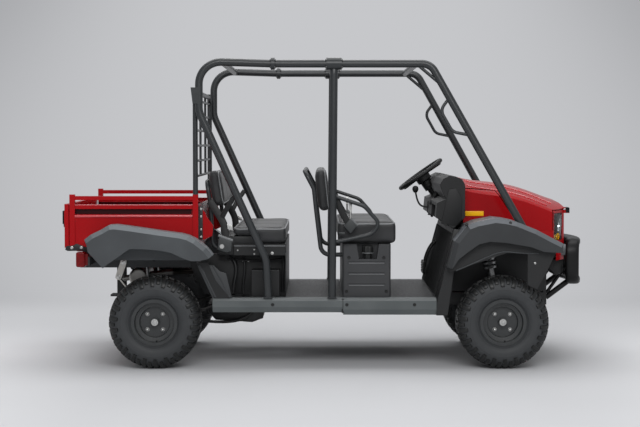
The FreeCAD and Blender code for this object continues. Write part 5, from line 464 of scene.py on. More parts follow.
def lugs():
    """Tread blocks: corners in pitches round and metres across, filled by a bilinear grid whose rim is sunk. The
    other half of the tread is the same blocks half a pitch on."""
    blocks = np.array([
        [(0.02, 0.004), (0.46, 0.004), (0.74, 0.040), (0.26, 0.043)],
        [(0.50, 0.049), (0.92, 0.046), (1.10, 0.084), (0.64, 0.088)],
        [(0.02, 0.060), (0.34, 0.056), (0.52, 0.082), (0.14, 0.088)],
        [(0.16, 0.095), (0.54, 0.090), (0.56, 0.157), (0.20, 0.157)],
        [(0.68, 0.092), (1.04, 0.093), (1.02, 0.139), (0.72, 0.139)]])
    pitches = 22
    painted_side_light, pitch = np.repeat([1, -1], len(blocks)), np.arange(pitches)
    corners = np.concatenate([blocks, blocks + [0.5, 0]]) + np.stack([pitch, 0 * pitch], -1)[:, None, None]
    u = np.array([0, 0.05, 0.14, 0.5, 0.86, 0.95, 1.0])
    lift = np.array([-0.0015, 0.0088, 0.0104, 0.0104, 0.0104, 0.0088, -0.0015])
    a, b, c, d = (corners[:, :, k, None, None, :] for k in range(4))
    across, along = u[None, :, None], u[:, None, None]
    flat = (a * (1 - across) + b * across) * (1 - along) + (d * (1 - across) + c * across) * along
    tall = np.minimum(lift[None, :], lift[:, None])
    reach = flat[..., 1] * painted_side_light[None, :, None, None]
    index = np.arange(len(u) ** 2).reshape(len(u), len(u))
    points = on_wall(flat[..., 0] * 2 * pi / pitches, reach, tall + 0 * reach).reshape(-1, index.size, 3)
    quads = np.stack([index[:-1, :-1], index[:-1, 1:], index[1:, 1:], index[1:, :-1]], -1).reshape(-1, 4).tolist()
    under = [*index[0, :-1], *index[:-1, -1], *index[-1, :0:-1], *index[:0:-1, 0]][::-1]
    faces = quads + [[int(k) for k in under]]
    middle = len(u) // 2
    a, b, c = (points[:, index[row, column]] for row, column in ((middle, middle), (middle, middle + 1),
                                                                 (middle + 1, middle)))
    inward = (np.cross(b - a, c - a) * (points.mean(1) * [1, 0.3, 1])).sum(-1) < 0
    return [(block, [face[::-1] for face in faces] if turned else faces) for block, turned in zip(points, inward)]


rubber = Finish("tyre_rubber", Specular_IOR_Level=0.42)
raised = Value(rubber, rubber.tree.nodes.new("ShaderNodeAttribute").outputs["Fac"])
raised.socket.node.attribute_name = "tread"
dust = rubber.noise(0.05, 4)
rubber.varies(Base_Color=rubber.mix(rubber.mix(srgb(47, 49, 51), srgb(58, 60, 62), dust),
                                    rubber.mix(srgb(17, 18, 18), srgb(34, 35, 35), dust), raised),
              Roughness=dust * 0.16 + 0.5 - raised * 0.16)
rubber.relief(rubber.noise(0.0016, 2), 0.0003, strength=0.4)
body_shell, tread_blocks = carcass(), lugs()
tread = np.concatenate([np.zeros(len(body_shell[0])), *[np.ones(len(points)) for points, _ in tread_blocks]])
hubs = {f"{end}_{hand}": np.array([x, y, 0.29]) for end, x in (("front", 1.09), ("rear", -1.09))
        for hand, y in (("right", -0.585), ("left", 0.585))}
for place, hub in hubs.items():
    shells = [(points + hub, faces) for points, faces in [body_shell, *tread_blocks]]
    tyre = piece(f"tread_{place}", shells, rubber, "tyre_rubber", f"wheel_{place}", 30, tread=tread)
    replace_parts(tyre, f"tyre_{place}")


# ---- Wheels ----
# Pressed steel discs in dark satin enamel, held by four plated nuts, with a turned hub cap and a valve.
def lathe(centre, axis, outline, painted_side_light=24):
    """A closed turned form: rings of the outline's (along, radius) pairs about an axis through `centre`."""
    axis = np.asarray(axis, float) / np.linalg.norm(axis)
    helper = np.eye(3)[np.argmin(np.abs(axis))]
    first = np.cross(axis, helper)
    first /= np.linalg.norm(first)
    second = np.cross(axis, first)
    c, s = wave(painted_side_light)
    ring = c[:, None] * first + s[:, None] * second
    outline = np.asarray(outline, float)
    return closed(np.asarray(centre) + outline[:, None, :1] * axis + outline[:, None, 1:] * ring)


def nut(centre, axis, radius, height, painted_side_light=6):
    """A flanged nut with its corners turned off: a washer, flats on `painted_side_light` sides, and a small domed top."""
    washer, head = [(-0.3, 1.2), (0.12, 1.25), (0.2, 1.1)], [(0.1, 1), (0.8, 1), (1, 0.8), (1.02, 0.3)]
    return [lathe(centre, axis, np.array(outline) * [height, radius], count)
            for outline, count in ((washer, 12), (head, painted_side_light))]


rim_coat = Finish("rim_enamel", Coat_Weight=0.25, Coat_Roughness=0.3)
scuff = rim_coat.noise(0.04, 4)
rim_coat.varies(Base_Color=rim_coat.mix(srgb(36, 38, 39), srgb(50, 53, 54), scuff), Roughness=scuff * 0.2 + 0.3)
rim_coat.relief(rim_coat.noise(0.003, 1), 0.0002, edge=0.003, strength=0.3)
plated = Finish("zinc_plate")
tarnish = plated.noise(0.008, 3)
plated.varies(Base_Color=plated.mix(srgb(176, 177, 176), srgb(214, 214, 211), tarnish),
              Metallic=tarnish * 0.1 + 0.85, Roughness=tarnish * 0.25 + 0.22)
black_cap = Finish("black_rubber_trim", Specular_IOR_Level=0.4)
black_cap.shades((14, 15, 15), (26, 27, 27), black_cap.noise(0.02, 3), 0.45, 0.2)
nut_circle = 0.0685
disc_face, cap_seat, valve_seat = 0.0425, 0.0765, 0.062  # along the axle, from the middle of the wheel
washer = [(-0.002, 0.014), (0.002, 0.014), (0.0045, 0.0125)]
lug_nut = [(0, 0.0108), (0.0145, 0.0108), (0.017, 0.0092), (0.0195, 0.005), (0.0202, 0.001)]
hub_cap = [(-0.003, 0.0225), (0.001, 0.0225), (0.003, 0.021), (0.003, 0.0135), (0.0005, 0.012), (0.0005, 0.0095),
           (0.004, 0.0085), (0.0045, 0.001)]
valve = [(-0.004, 0.0075), (0.004, 0.0075), (0.006, 0.0045), (0.022, 0.0042), (0.024, 0.003), (0.0245, 0.0008)]
for place, hub in hubs.items():
    out = np.array([0, np.sign(hub[1]), 0])
    dress(rim_coat, f"rim_{place}")
    shells = []
    for turn in (np.arange(4) + 0.5) * pi / 2:
        seat = hub + out * disc_face + nut_circle * np.array([cos(turn), 0, sin(turn)])
        shells += [lathe(seat, out, washer, 24), lathe(seat, out, lug_nut, 6)]
    shells.append(lathe(hub + out * cap_seat, out, hub_cap, 32))
    piece(f"wheel_nuts_{place}", shells, plated, "bare_steel", f"wheel_{place}")
    piece(f"valve_{place}", [lathe(hub + out * valve_seat + [0.012, 0, -0.118], out, valve, 16)],
          black_cap, "tyre_rubber", f"wheel_{place}")


# ---- Bench cushions and backrests ----
# Foam blocks in charcoal vinyl, sewn in three panels with a piped edge and pulled over moulded pans.
# The foam pushes the vinyl out between the seams.
def pillow(low, high, edge=(0.028, 0.028, 0.016), rows=14, columns=40):
    """A box between two corners whose edges are quarter ellipses: a direction from a grid of two angles, times the
    radii `edge`, added to the corner of the flat box inside that it points to."""
    low, high, edge = np.asarray(low, float), np.asarray(high, float), np.asarray(edge)
    rise = ((np.arange(rows) + 0.5) / rows - 0.5)[:, None] * pi
    turn = ((np.arange(columns) + 0.5) * 2 * pi / columns)[None, :]
    way = np.stack([np.cos(rise) * np.cos(turn), np.cos(rise) * np.sin(turn), np.sin(rise) + 0 * turn], -1)
    return closed((low + high) / 2 + np.sign(way) * ((high - low) / 2 - edge) + way * edge)


def leaned(shell, foot, lean):
    """Moves a shell from (ahead, across, up) about a foot to the vehicle, leaned back by `lean` degrees."""
    points, faces = shell
    ahead, across, up = points.T
    c, s = cos(radians(lean)), sin(radians(lean))
    return np.stack([foot[0] + ahead * c - up * s, across, foot[1] + ahead * s + up * c], 1), faces


def plump(name, shells, push, finish, slot):
    """Foam under vinyl: the shells are fused at a fine voxel, blown up as cloth under pressure with the swelling
    capped at `push` metres, and smoothed by one subdivision."""
    voxel, pressure, frames = 0.011, 4.0, 20
    made = piece(name, shells, finish, slot, fold=60)
    bpy.context.view_layer.objects.active = made
    remesh = made.modifiers.new("even_skin", "REMESH")
    remesh.mode, remesh.voxel_size, remesh.use_smooth_shade = "VOXEL", voxel, True
    bpy.ops.object.modifier_apply(modifier=remesh.name)
    count = len(made.data.vertices)
    start = np.empty(count * 3)
    made.data.vertices.foreach_get("co", start)
    cloth = made.modifiers.new("vinyl", "CLOTH")
    cloth.settings.quality = 4
    cloth.settings.use_pressure, cloth.settings.uniform_pressure_force = True, pressure
    cloth.settings.effector_weights.gravity = 0.0
    for frame_number in range(1, frames + 1):
        bpy.context.scene.frame_set(frame_number)
    swollen = made.evaluated_get(bpy.context.evaluated_depsgraph_get()).to_mesh()
    end = np.empty(count * 3)
    swollen.vertices.foreach_get("co", end)
    made.modifiers.remove(cloth)
    bpy.context.scene.frame_set(1)
    move = (end - start).reshape(-1, 3)
    length = np.linalg.norm(move, axis=1, keepdims=True)
    move *= np.tanh(length / push) * push / np.maximum(length, 1e-9)
    made.data.vertices.foreach_set("co", (start.reshape(-1, 3) + move).ravel())
    made.data.update()
    soft = made.modifiers.new("soft_skin", "SUBSURF")
    soft.levels = soft.render_levels = 1
    bpy.ops.object.modifier_apply(modifier=soft.name)
    return made


def sewn(made, lines, depth=0.005, width=0.006):
    """Sinks a skin along seams: `lines` are y positions, and the fall is a bell of `width` about each."""
    count = len(made.data.vertices)
    points, normals = np.empty(count * 3), np.empty(count * 3)
    made.data.vertices.foreach_get("co", points)
    made.data.vertices.foreach_get("normal", normals)
    points, normals = points.reshape(-1, 3), normals.reshape(-1, 3)
    fall = sum(np.exp(-((points[:, 1] - line) / width) ** 2) for line in lines)
    points -= normals * (fall * depth)[:, None]
    made.data.vertices.foreach_set("co", points.ravel())
    made.data.update()


def tube(path, radius, painted_side_light=10, ends=True):
    """A round bar along a path: rings square to it, turned evenly about the path's own plane."""
    path = np.asarray(path, float)
    run = np.gradient(path, axis=0) if ends else np.roll(path, -1, 0) - np.roll(path, 1, 0)
    run = unit(run)
    side = unit(np.cross(run, np.linalg.svd(path - path.mean(0))[2][2]))
    other = np.cross(side, run)
    c, s = wave(painted_side_light)
    return closed(path[:, None] + radius * (c[None, :, None] * side[:, None] + s[None, :, None] * other[:, None]), ends)


def rounded(half_width, half_height, corner, steps=5):
    """A rectangle about the origin whose corners are quarter circles, as pairs, running round once."""
    turn = (np.arange(4)[:, None] + np.linspace(0, 1, steps)[None, :]).ravel() * pi / 2
    quarter = np.repeat(np.arange(4), steps)
    signs = np.stack([np.where((quarter == 0) | (quarter == 3), 1, -1), np.where(quarter < 2, 1, -1)], 1)
    return signs * [half_width - corner, half_height - corner] + corner * np.stack([np.cos(turn), np.sin(turn)], 1)


def piped(name, made, outline, aim, radius):
    """Piping sewn into a cushion's edge: each point of an outline wide of the cushion is carried along the line to
    its point of `aim` until it meets the skin, and a cord of `radius` is laid through those places."""
    skin = BVHTree.FromObject(made, bpy.context.evaluated_depsgraph_get())
    ring = []
    for start, end in zip(outline, aim):
        way = Vector(end) - Vector(start)
        hit = skin.ray_cast(Vector(start), way.normalized())[0]
        ring.append(hit if hit is not None else Vector(end))
    return piece(name, [tube(np.array(ring), radius, 8, ends=False)], piping_highlight, "seat_vinyl", fold=60)


vinyl = Finish("charcoal_vinyl", Specular_IOR_Level=0.4, Sheen_Weight=0.1, Sheen_Roughness=0.5)
grain = vinyl.cells(0.0035)
fade = vinyl.noise(0.18, 4)
vinyl.varies(Base_Color=vinyl.mix(srgb(33, 34, 35), srgb(48, 49, 51), fade.above(0.3, 0.75)),
             Roughness=fade * 0.16 + grain * 0.1 + 0.36)
vinyl.relief(grain * 0.7 + vinyl.noise(0.03, 3) * 0.6, 0.0007, strength=0.45)
# Painted highlight: the piping is light grey where its rounded cord catches the lamps.
piping_highlight = Finish("vinyl_piping_painted_highlight", Specular_IOR_Level=0.6)
piping_highlight.shades((104, 106, 108), (136, 138, 140), piping_highlight.noise(0.02, 3), 0.25, 0.15)

swelling = 0.009
for name, blocks, ahead, top in (
        ("front_seat_cushion", [((0.05, -0.58, 0.7765), (0.43, 0.58, 0.9183))], (0.05, 0.43), 0.9183),
        ("rear_seat_cushion", [((-0.61, -0.58, 0.826), (-0.27, 0.58, 0.8843)),
                               ((-0.44, -0.58, 0.7765), (-0.262, 0.58, 0.8843))], (-0.61, -0.262), 0.8843)):
    room, edge = np.array([0.002, 0.008, 0.007]), (0.020, 0.024, 0.016)
    foam = [pillow(low + room, high - room, edge) for low, high in blocks]
    cushion = plump(f"{name}_vinyl", foam, swelling, vinyl, "seat_vinyl")
    sewn(cushion, (-0.193, 0.193))
    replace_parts(cushion, name)
    middle, half = sum(ahead) / 2, (ahead[1] - ahead[0]) / 2
    outline, aim = (np.column_stack([middle + ring[:, 0], ring[:, 1], np.full(len(ring), height)])
                    for ring, height in ((rounded(half + 0.03, 0.61, 0.05, 12), top + 0.018),
                                         (rounded(half - 0.045, 0.535, 0.02, 12), top - 0.035)))
    piped(f"{name}_piping", cushion, outline, aim, 0.0048)
for name, foot, lean, height, thick in (("front_seat_back", (-0.024, 0.972), 6, 0.285, 0.078),
                                        ("rear_seat_back", (-0.690, 1.002), 9, 0.250, 0.080)):
    low, high = (-thick / 2 + 0.008, -0.552, 0.008), (thick / 2 - 0.008, 0.552, height - 0.008)
    foam = [leaned(pillow(low, high, (0.020, 0.045, 0.035)), foot, lean)]
    back = plump(f"{name}_vinyl", foam, swelling, vinyl, "seat_vinyl")
    sewn(back, (-0.186, 0.186))
    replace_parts(back, name)
    outline, aim = (
        leaned((np.column_stack([np.full(len(ring), depth), ring[:, 0], height / 2 + ring[:, 1]]), None), foot, lean)[0]
        for ring, depth in ((rounded(0.60, height / 2 + 0.03, 0.06, 12), thick / 2 + 0.02),
                            (rounded(0.50, height / 2 - 0.05, 0.02, 12), thick / 2 - 0.03)))
    piped(f"{name}_piping", back, outline, aim, 0.0042)


# ---- Cage joints ----
# The roof comes apart at six flanged joints for shipping. Four plated bolts hold each pair of round flanges.
bolt_circle, tube_y, tube_z = 0.031, 0.672, 1.903
bolts = []
for x, face, side, turn in product((-0.348, -0.004, 0.068), (-1, 1), (-1, 1), (np.arange(4) + 0.5) * pi / 2):
    place = x + face * 0.012, side * tube_y + bolt_circle * cos(turn), tube_z + bolt_circle * sin(turn)
    bolts += nut(place, (face, 0, 0), 0.0055, 0.006)
piece("cage_bolts", bolts, plated, "bare_steel")


# ---- Wheel house and engine bay liners ----
# Thin black plastic sheets, clipped to the frame, that keep mud off the engine and out of the footwell.
# From the side they close the view through the vehicle.
def slab(outline, low, high, axis=1, rounding=0.0015):
    """A plate: an outline in the two other axes is carried along `axis`. At both rims it is drawn in along its own
    mitred normals by a quarter circle of `rounding`."""
    outline = np.asarray(outline, float)
    step = unit(np.roll(outline, -1, 0) - outline)
    after = np.stack([step[:, 1], -step[:, 0]], 1)
    before = np.roll(after, 1, 0)
    mitre = (before + after) / np.maximum(1 + (before * after).sum(1), 0.3)[:, None]
    x, y = outline.T
    mitre *= np.sign((x * np.roll(y, -1) - y * np.roll(x, -1)).sum())
    turn = np.linspace(0, pi / 2, 3)
    inset = np.concatenate([1 - np.sin(turn), 1 - np.cos(turn)]) * rounding
    height = np.concatenate([low + rounding * (1 - np.cos(turn)), high - rounding * (1 - np.sin(turn))])
    rings = np.empty((6, len(outline), 3))
    rings[..., [k for k in range(3) if k != axis]] = outline - inset[:, None, None] * mitre
    rings[..., axis] = height[:, None]
    return closed(rings)


def block(low, high, rounding=0.004, axis=1):
    """A box between two corners with every edge rounded."""
    low, high = np.asarray(low, float), np.asarray(high, float)
    flat = [k for k in range(3) if k != axis]
    outline = (low + high)[flat] / 2 + rounded(*((high - low)[flat] / 2), rounding, 4)
    return slab(outline, low[axis], high[axis], axis, rounding * 0.8)


def pair(*shells):
    """Shells and their mirror images across the vehicle's middle."""
    return [*shells, *((points * [1, -1, 1], [face[::-1] for face in faces]) for points, faces in shells)]


piece("wheel_house_liners", pair(
    slab([(0.80, 0.455), (1.40, 0.455), (1.415, 0.60), (1.415, 0.80), (0.80, 0.80)], 0.300, 0.304),
    slab([(0.668, 0.446), (0.775, 0.470), (0.785, 0.60), (0.86, 0.86), (0.80, 0.872), (0.783, 0.872)], 0.600, 0.604)),
    black_plastic)
piece("engine_bay_liners", pair(
    slab([(-0.655, 0.446), (-0.272, 0.446), (-0.272, 0.702), (-0.655, 0.702)], 0.421, 0.425),
    slab([(-0.80, 0.446), (-0.60, 0.446), (-0.60, 0.702), (-0.90, 0.702), (-0.87, 0.60)], 0.436, 0.440)),
    black_plastic)


# ---- Engine bay fittings ----
# Rubber hoses and a wiring loom run over the liner, and plated bolts hold the bench tray to its brackets.
hose = Finish("hose_rubber", Specular_IOR_Level=0.5)
hose.shades((20, 21, 22), (40, 41, 42), hose.noise(0.03, 3), 0.3, 0.2)
piece("bay_hoses", pair(
    tube(flow([(-0.61, 0.428, 0.45), (-0.61, 0.448, 0.50), (-0.585, 0.45, 0.60), (-0.60, 0.448, 0.66),
               (-0.64, 0.428, 0.70)], 40), 0.011),
    tube(flow([(-0.548, 0.428, 0.45), (-0.548, 0.445, 0.53), (-0.53, 0.448, 0.62), (-0.548, 0.428, 0.70)], 40), 0.008),
    tube(flow([(-0.295, 0.428, 0.46), (-0.295, 0.442, 0.55), (-0.285, 0.442, 0.66), (-0.295, 0.428, 0.70)], 30), 0.007),
    tube(flow([(-0.655, 0.432, 0.672), (-0.62, 0.446, 0.672), (-0.45, 0.446, 0.655), (-0.30, 0.428, 0.672)], 40),
         0.0055)), hose, "tyre_rubber")
bolts = []
for radius, *place in (
        (0.0045, -0.470, 0.560, 0.739), (0.0045, -0.470, 0.560, 0.712), (0.008, -0.357, 0.560, 0.716),
        (0.0045, -0.575, 0.560, 0.735), (0.0045, -0.545, 0.425, 0.657), (0.0045, -0.514, 0.425, 0.657),
        (0.006, 1.277, 0.748, 0.668), (0.013, -1.312, 0.428, 0.650), (0.013, -1.345, 0.428, 0.556)):
    bolts += nut(place, (0, 1, 0), radius, 0.006)
piece("bay_bolts", pair(*bolts), plated, "bare_steel")
# Painted highlight: the tray lip, the seat-box slot ribs, the fuel cap collar and the belt reel caps are light grey
# where their rounded edges catch the lamps.
highlight_edge = moulded("painted_highlight_plastic", (96, 98, 100), (118, 120, 122), 0.3)
piece("tray_lip", pair(
    tube([(-0.598, 0.5605, 0.7625), (-0.45, 0.5605, 0.7625), (-0.275, 0.5605, 0.7625)], 0.0035),
    *[tube([(0.126, 0.6, z), (0.24, 0.6, z), (0.350, 0.6, z)], 0.003, 8) for z in (0.657, 0.587, 0.517)]), highlight_edge)
piece("rear_seat_pan", [
    block((-0.660, -0.550, 0.766), (-0.420, 0.550, 0.824), 0.006, 2),
    *pair(block((-0.705, 0.480, 0.705), (-0.598, 0.552, 0.800), 0.006, 2),
          block((0.079, 0.620, 0.352), (0.097, 0.694, 0.440), 0.004))], black_plastic)


# ---- Belly ----
# The gear case hangs under the frame rails in a cast black housing. A bent torque rod joins it to the rear
# axle, and a black air duct sits behind the bumper.
gear_case = [(-0.79, 0.360), (-0.79, 0.305), (-0.74, 0.252), (-0.50, 0.236), (-0.43, 0.262), (-0.41, 0.360)]
mounting_ear = [(-0.655, 0.345), (-0.655, 0.30), (-0.60, 0.283), (-0.60, 0.345)]
torque_rod = [(-0.50, 0.200, 0.30), (-0.55, 0.215, 0.262), (-0.64, 0.225, 0.240), (-0.80, 0.225, 0.245),
              (-0.92, 0.225, 0.266), (-0.985, 0.225, 0.290)]
duct = [(1.425, 0.662), (1.520, 0.662), (1.520, 0.575), (1.475, 0.552), (1.425, 0.60)]
piece("gear_case", [slab(gear_case, -0.195, 0.195, 1, 0.012),
                    *pair(*nut((-0.565, 0.195, 0.318), (0, 1, 0), 0.010, 0.008)),
                    *pair(slab(mounting_ear, 0.190, 0.206))], frame_coat, "black_steel")
piece("torque_rods", pair(tube(flow(torque_rod, 60), 0.010)), frame_coat, "black_steel")
piece("nose_duct", [slab(duct, -0.295, 0.295, 1, 0.006)], black_plastic)
piece("guard_brackets", pair(block((1.497, 0.325, 0.690), (1.531, 0.343, 0.760), 0.003)), cast, "bare_steel")


# ---- Front guard ----
# A loop of oval steel tube bent round the nose, with two uprights, on struts from the frame rails. It is
# dipped in soft black.
def resampled(ring, count):
    """`count` places at even steps along a closed ring."""
    loop = np.concatenate([ring, ring[:1]])
    run = np.concatenate([[0], np.cumsum(np.linalg.norm(np.diff(loop, axis=0), axis=1))])
    at = np.arange(count) / count * run[-1]
    return np.stack([np.interp(at, run, column) for column in loop.T], 1)


def guard_loop(half_width=0.336, half_height=0.125, corner=0.070, deep=0.044, thick=0.024):
    """A rounded rectangle across and up, bowed forward by a parabola, carrying an oval: a superellipse whose
    cosine and sine are raised to 0.6, `deep` ahead and `thick` in the loop's plane."""
    flat = resampled(rounded(half_width, half_height, corner, 8), 140)
    step = unit(np.roll(flat, -1, 0) - np.roll(flat, 1, 0))
    across, up = flat[:, 0], flat[:, 1] + 0.645
    ahead = 1.521 + 0.057 * (1 - (across / 0.36) ** 2) + deep
    c, s = (np.sign(part) * np.abs(part) ** 0.6 for part in wave(20))
    rings = np.empty((len(flat), 20, 3))
    rings[..., 0] = ahead[:, None] + deep * c
    rings[..., 1] = across[:, None] + thick * s * step[:, 1:]
    rings[..., 2] = up[:, None] - thick * s * step[:, :1]
    return closed(rings, ends=False)


guard_coat = Finish("soft_black_coat", Specular_IOR_Level=0.3)
scuff = guard_coat.noise(0.05, 4)
guard_coat.varies(Base_Color=guard_coat.mix(srgb(10, 11, 12), srgb(17, 18, 19), scuff), Roughness=scuff * 0.15 + 0.34)
guard_coat.relief(guard_coat.noise(0.003, 1), 0.0002, strength=0.3)
guard = piece("front_guard_bars", [guard_loop(), *pair(
    block((1.575, 0.130, 0.530), (1.640, 0.170, 0.760), 0.014, 2),
    tube([(1.420, 0.23, 0.405), (1.500, 0.23, 0.465), (1.580, 0.23, 0.525)], 0.018, 16),
    tube([(1.424, 0.23, 0.435), (1.500, 0.235, 0.545), (1.560, 0.24, 0.63), (1.575, 0.24, 0.745)], 0.011, 12))],
    guard_coat, "black_steel")
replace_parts(guard, "front_guard")


# ---- Headlamps ----
# Each lamp is a black pocket with a chromed bowl and a small amber bowl under it, closed by a clear cover.
# It is set into the slanted corner of the nose.
def moved(shell, centre, along, up, out):
    """A shell in (along, up, out) carried to the vehicle; a left-handed set of directions turns its faces."""
    points, faces = shell
    axes = np.array([along, up, out])
    return centre + points @ axes, ([face[::-1] for face in faces] if np.linalg.det(axes) < 0 else faces)


chrome = Finish("chromed_bowl")
facets = chrome.cells(0.006)
chrome.varies(Base_Color=chrome.mix(srgb(205, 208, 210), srgb(232, 234, 235), facets), Metallic=facets * 0.05 + 0.95,
              Roughness=facets * 0.1 + 0.08)
amber = Finish("amber_plastic", Specular_IOR_Level=0.3)
amber.shades((255, 178, 0), (255, 198, 6), amber.cells(0.006), 0.25, 0.1)
bowl = np.array([(-0.050, 0.12), (-0.047, 0.36), (-0.038, 0.70), (-0.024, 0.93), (-0.010, 1.0), (-0.010, 0.96),
                 (-0.023, 0.89), (-0.036, 0.66), (-0.043, 0.33), (-0.0445, 0.1)])
bulb = [(0, 0.009), (0.018, 0.009), (0.026, 0.004), (0.027, 0.001)]
pockets, bowls, bulbs, covers = [], [], [], []
for side in (-1, 1):
    place = np.array([1.4731, side * 0.392, 0.8765]), (0.484, -side * 0.875, 0), (0, 0, 1), (0.875, side * 0.484, 0)
    ring = rounded(0.0735, 0.0855, 0.018)
    wall = np.array([np.column_stack([ring * scale, np.full(len(ring), depth)])
                     for scale, depth in ((1, -0.052), (1, -0.007), (0.94, -0.007), (0.94, -0.052))])
    pockets += [moved(slab(ring, -0.058, -0.050, 2, 0.002), *place), moved(closed(wall), *place)]
    bowls += [moved(lathe((-0.004, 0.020, 0), (0, 0, 1), bowl * [1, 0.060], 40), *place)]
    bulbs += [moved(lathe((-0.004, -0.062, 0.012), (0, 0, 1), bowl * [1, 0.020], 24), *place),
              moved(lathe((-0.004, 0.020, -0.045), (0, 0, 1), bulb, 16), *place)]
    covers += [moved(slab(ring * 0.985, -0.0065, -0.001, 2, 0.002), *place)]
piece("headlamp_pockets", pockets, black_plastic)
piece("headlamp_bowls", bowls, chrome, "lamp_lens", fold=50)
piece("headlamp_bulbs", bulbs, amber, "lamp_lens", fold=50)
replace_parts(piece("headlamp_covers", covers, clear, "lamp_lens"), "headlamps")
piece("side_reflectors", pair(block((0.868, 0.4695, 0.948), (0.986, 0.4745, 0.979), 0.003)), amber, "lamp_lens")


# ---- Pressed folds of the bodywork ----
# The hood has two soft folds on each side of its crown and the bed sides have rolled beads. Their tight
# bends catch the lamps as thin pink lines. The nose cheeks close the body behind the fenders.
# Painted highlight: the folds and beads are a lighter, pinker red than the enamel, on top of their real gloss.
fold_highlight_red = Finish("polished_folds_painted_highlight", Specular_IOR_Level=0.6, Coat_Weight=1.0, Coat_Roughness=0.05)
fold_highlight_red.shades((186, 40, 48), (204, 56, 64), fold_highlight_red.noise(0.2), 0.2, 0.1, 0.1)
hood_skin = BVHTree.FromObject(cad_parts["hood"], bpy.context.evaluated_depsgraph_get())
folds = []
for near, far in (((0.885, 0.200), (1.440, 0.300)), ((0.885, 0.365), (1.400, 0.395))):
    line = np.linspace(near, far, 50)
    drop = [hood_skin.ray_cast(Vector((x, y, 1.6)), Vector((0, 0, -1)))[0] for x, y in line]
    met = np.array([hit is not None for hit in drop])
    line = line[met]
    height = np.polynomial.Polynomial.fit(line[:, 0], [hit.z for hit in drop if hit is not None], 6)(line[:, 0])
    folds.append(tube(np.column_stack([line, height + 0.001]), 0.0062))
piece("hood_folds", pair(*folds), fold_highlight_red, "red_paint", "hood", 70)
piece("bed_beads", pair(
    tube([(-1.588, 0.6335, 0.954), (-1.2, 0.6335, 0.954), (-0.853, 0.6335, 0.954)], 0.0095),
    tube([(-1.588, 0.6345, 1.0235), (-1.2, 0.6345, 1.0235), (-0.853, 0.6345, 1.0235)], 0.0040)),
    fold_highlight_red, "red_paint", "bed", 70)
cheek = [(1.290, 0.858), (1.4302, 0.858), (1.4302, 0.672), (1.375, 0.672), (1.290, 0.80)]
piece("nose_cheeks", pair(slab(cheek, 0.462, 0.4695)), red, "red_paint")


# ---- Bed hardware ----
# Black steel: a riveted hinge strip on each folding wing, hinge plates under the tailgate and a hooked
# latch at each end of it.
hinge_plate = [(-1.650, 0.744), (-1.645, 0.766), (-1.600, 0.772), (-1.578, 0.782), (-1.552, 0.772), (-1.536, 0.767),
               (-1.536, 0.738), (-1.635, 0.736)]
piece("bed_hinge_strips", pair(
    slab([(-0.8165, 0.806), (-0.7915, 0.806), (-0.7915, 1.016), (-0.8165, 1.016)], 0.593, 0.599),
    tube([(-0.8165, 0.597, 0.806), (-0.8165, 0.597, 0.91), (-0.8165, 0.597, 1.016)], 0.005, 8),
    slab(hinge_plate, 0.635, 0.6405)), frame_coat, "black_steel", "bed")
rivets = []
for z in (0.822, 0.869, 0.950, 0.997):
    rivets += nut((-0.803, 0.599, z), (0, 1, 0), 0.0058, 0.005, 12)
for x in (-1.608, -1.549):
    rivets += nut((x, 0.6405, 0.757), (0, 1, 0), 0.0075, 0.006)
piece("bed_rivets", pair(*rivets), plated, "bare_steel", "bed")
piece("tailgate_latches", pair(
    block((-1.6625, 0.603, 0.915), (-1.650, 0.633, 0.990), 0.004),
    tube(flow([(-1.652, 0.618, 0.985), (-1.659, 0.618, 0.965), (-1.6595, 0.618, 0.925), (-1.655, 0.618, 0.885)], 24),
         0.006)), frame_coat, "black_steel", "tailgate")


# ---- Splash guards and fender edges ----
# The splash guards have an outer web with two moulded folds. The front wheel arches end in a rolled lip,
# and black clips hold the fenders, the sills and the seat box.
web_plastic = moulded("web_plastic", (48, 50, 52), (56, 58, 60), top_light=(84, 88, 91))
piece("splash_webs", pair(
    slab([(-0.821, 0.653), (-0.720, 0.650), (-0.679, 0.612), (-0.640, 0.600), (-0.604, 0.447), (-0.726, 0.447)],
         0.684, 0.6895),
    tube([(-0.806, 0.686, 0.652), (-0.755, 0.686, 0.55), (-0.706, 0.686, 0.450)], 0.0065),
    tube([(-0.722, 0.686, 0.648), (-0.665, 0.686, 0.55), (-0.618, 0.686, 0.450)], 0.0065)),
    web_plastic)
lip = flow([(0.787, 0.7455, 0.621), (0.90, 0.7455, 0.668), (1.00, 0.7455, 0.715), (1.063, 0.7455, 0.738),
            (1.12, 0.7455, 0.738), (1.20, 0.7455, 0.728), (1.30, 0.7455, 0.728)], 70)
piece("arch_lips", pair(tube(lip, 0.004)), web_plastic)
clip = [(-0.004, 0.0105), (0.001, 0.0105), (0.003, 0.008), (0.0025, 0.003), (0.0015, 0.001)]
sloped, upright = (0, 0.77, 0.63), (0, 1, 0)
places = [((0.847, 0.793, 0.911), sloped), ((1.117, 0.793, 0.921), sloped)]
places += [(place, upright) for place in (
    (0.1125, 0.700, 0.405), (0.534, 0.700, 0.405), (-0.35, 0.700, 0.405), (0.127, 0.600, 0.692),
    (0.346, 0.600, 0.692), (0.112, 0.600, 0.480), (0.362, 0.600, 0.480), (-1.121, 0.420, 0.664),
    (0.735, 0.604, 0.90))]
piece("trim_clips", pair(*[lathe(place, way, clip, 20) for place, way in places]), black_cap)


# ---- Dashboard and controls ----
# A round gauge in a black hood, a gear lever with a ball knob, two sockets, and hung pedals with ribbed
# rubber pads. Moulded cheeks close the ends of the dashboard and ribs stiffen the toe board.
dash_skin = BVHTree.FromObject(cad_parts["dashboard"], bpy.context.evaluated_depsgraph_get())


def dash_at(y, z):
    """The place on the dashboard's rear face that is met from the seat."""
    return np.array(dash_skin.ray_cast(Vector((0.3, y, z)), Vector((1, 0, 0)))[0])


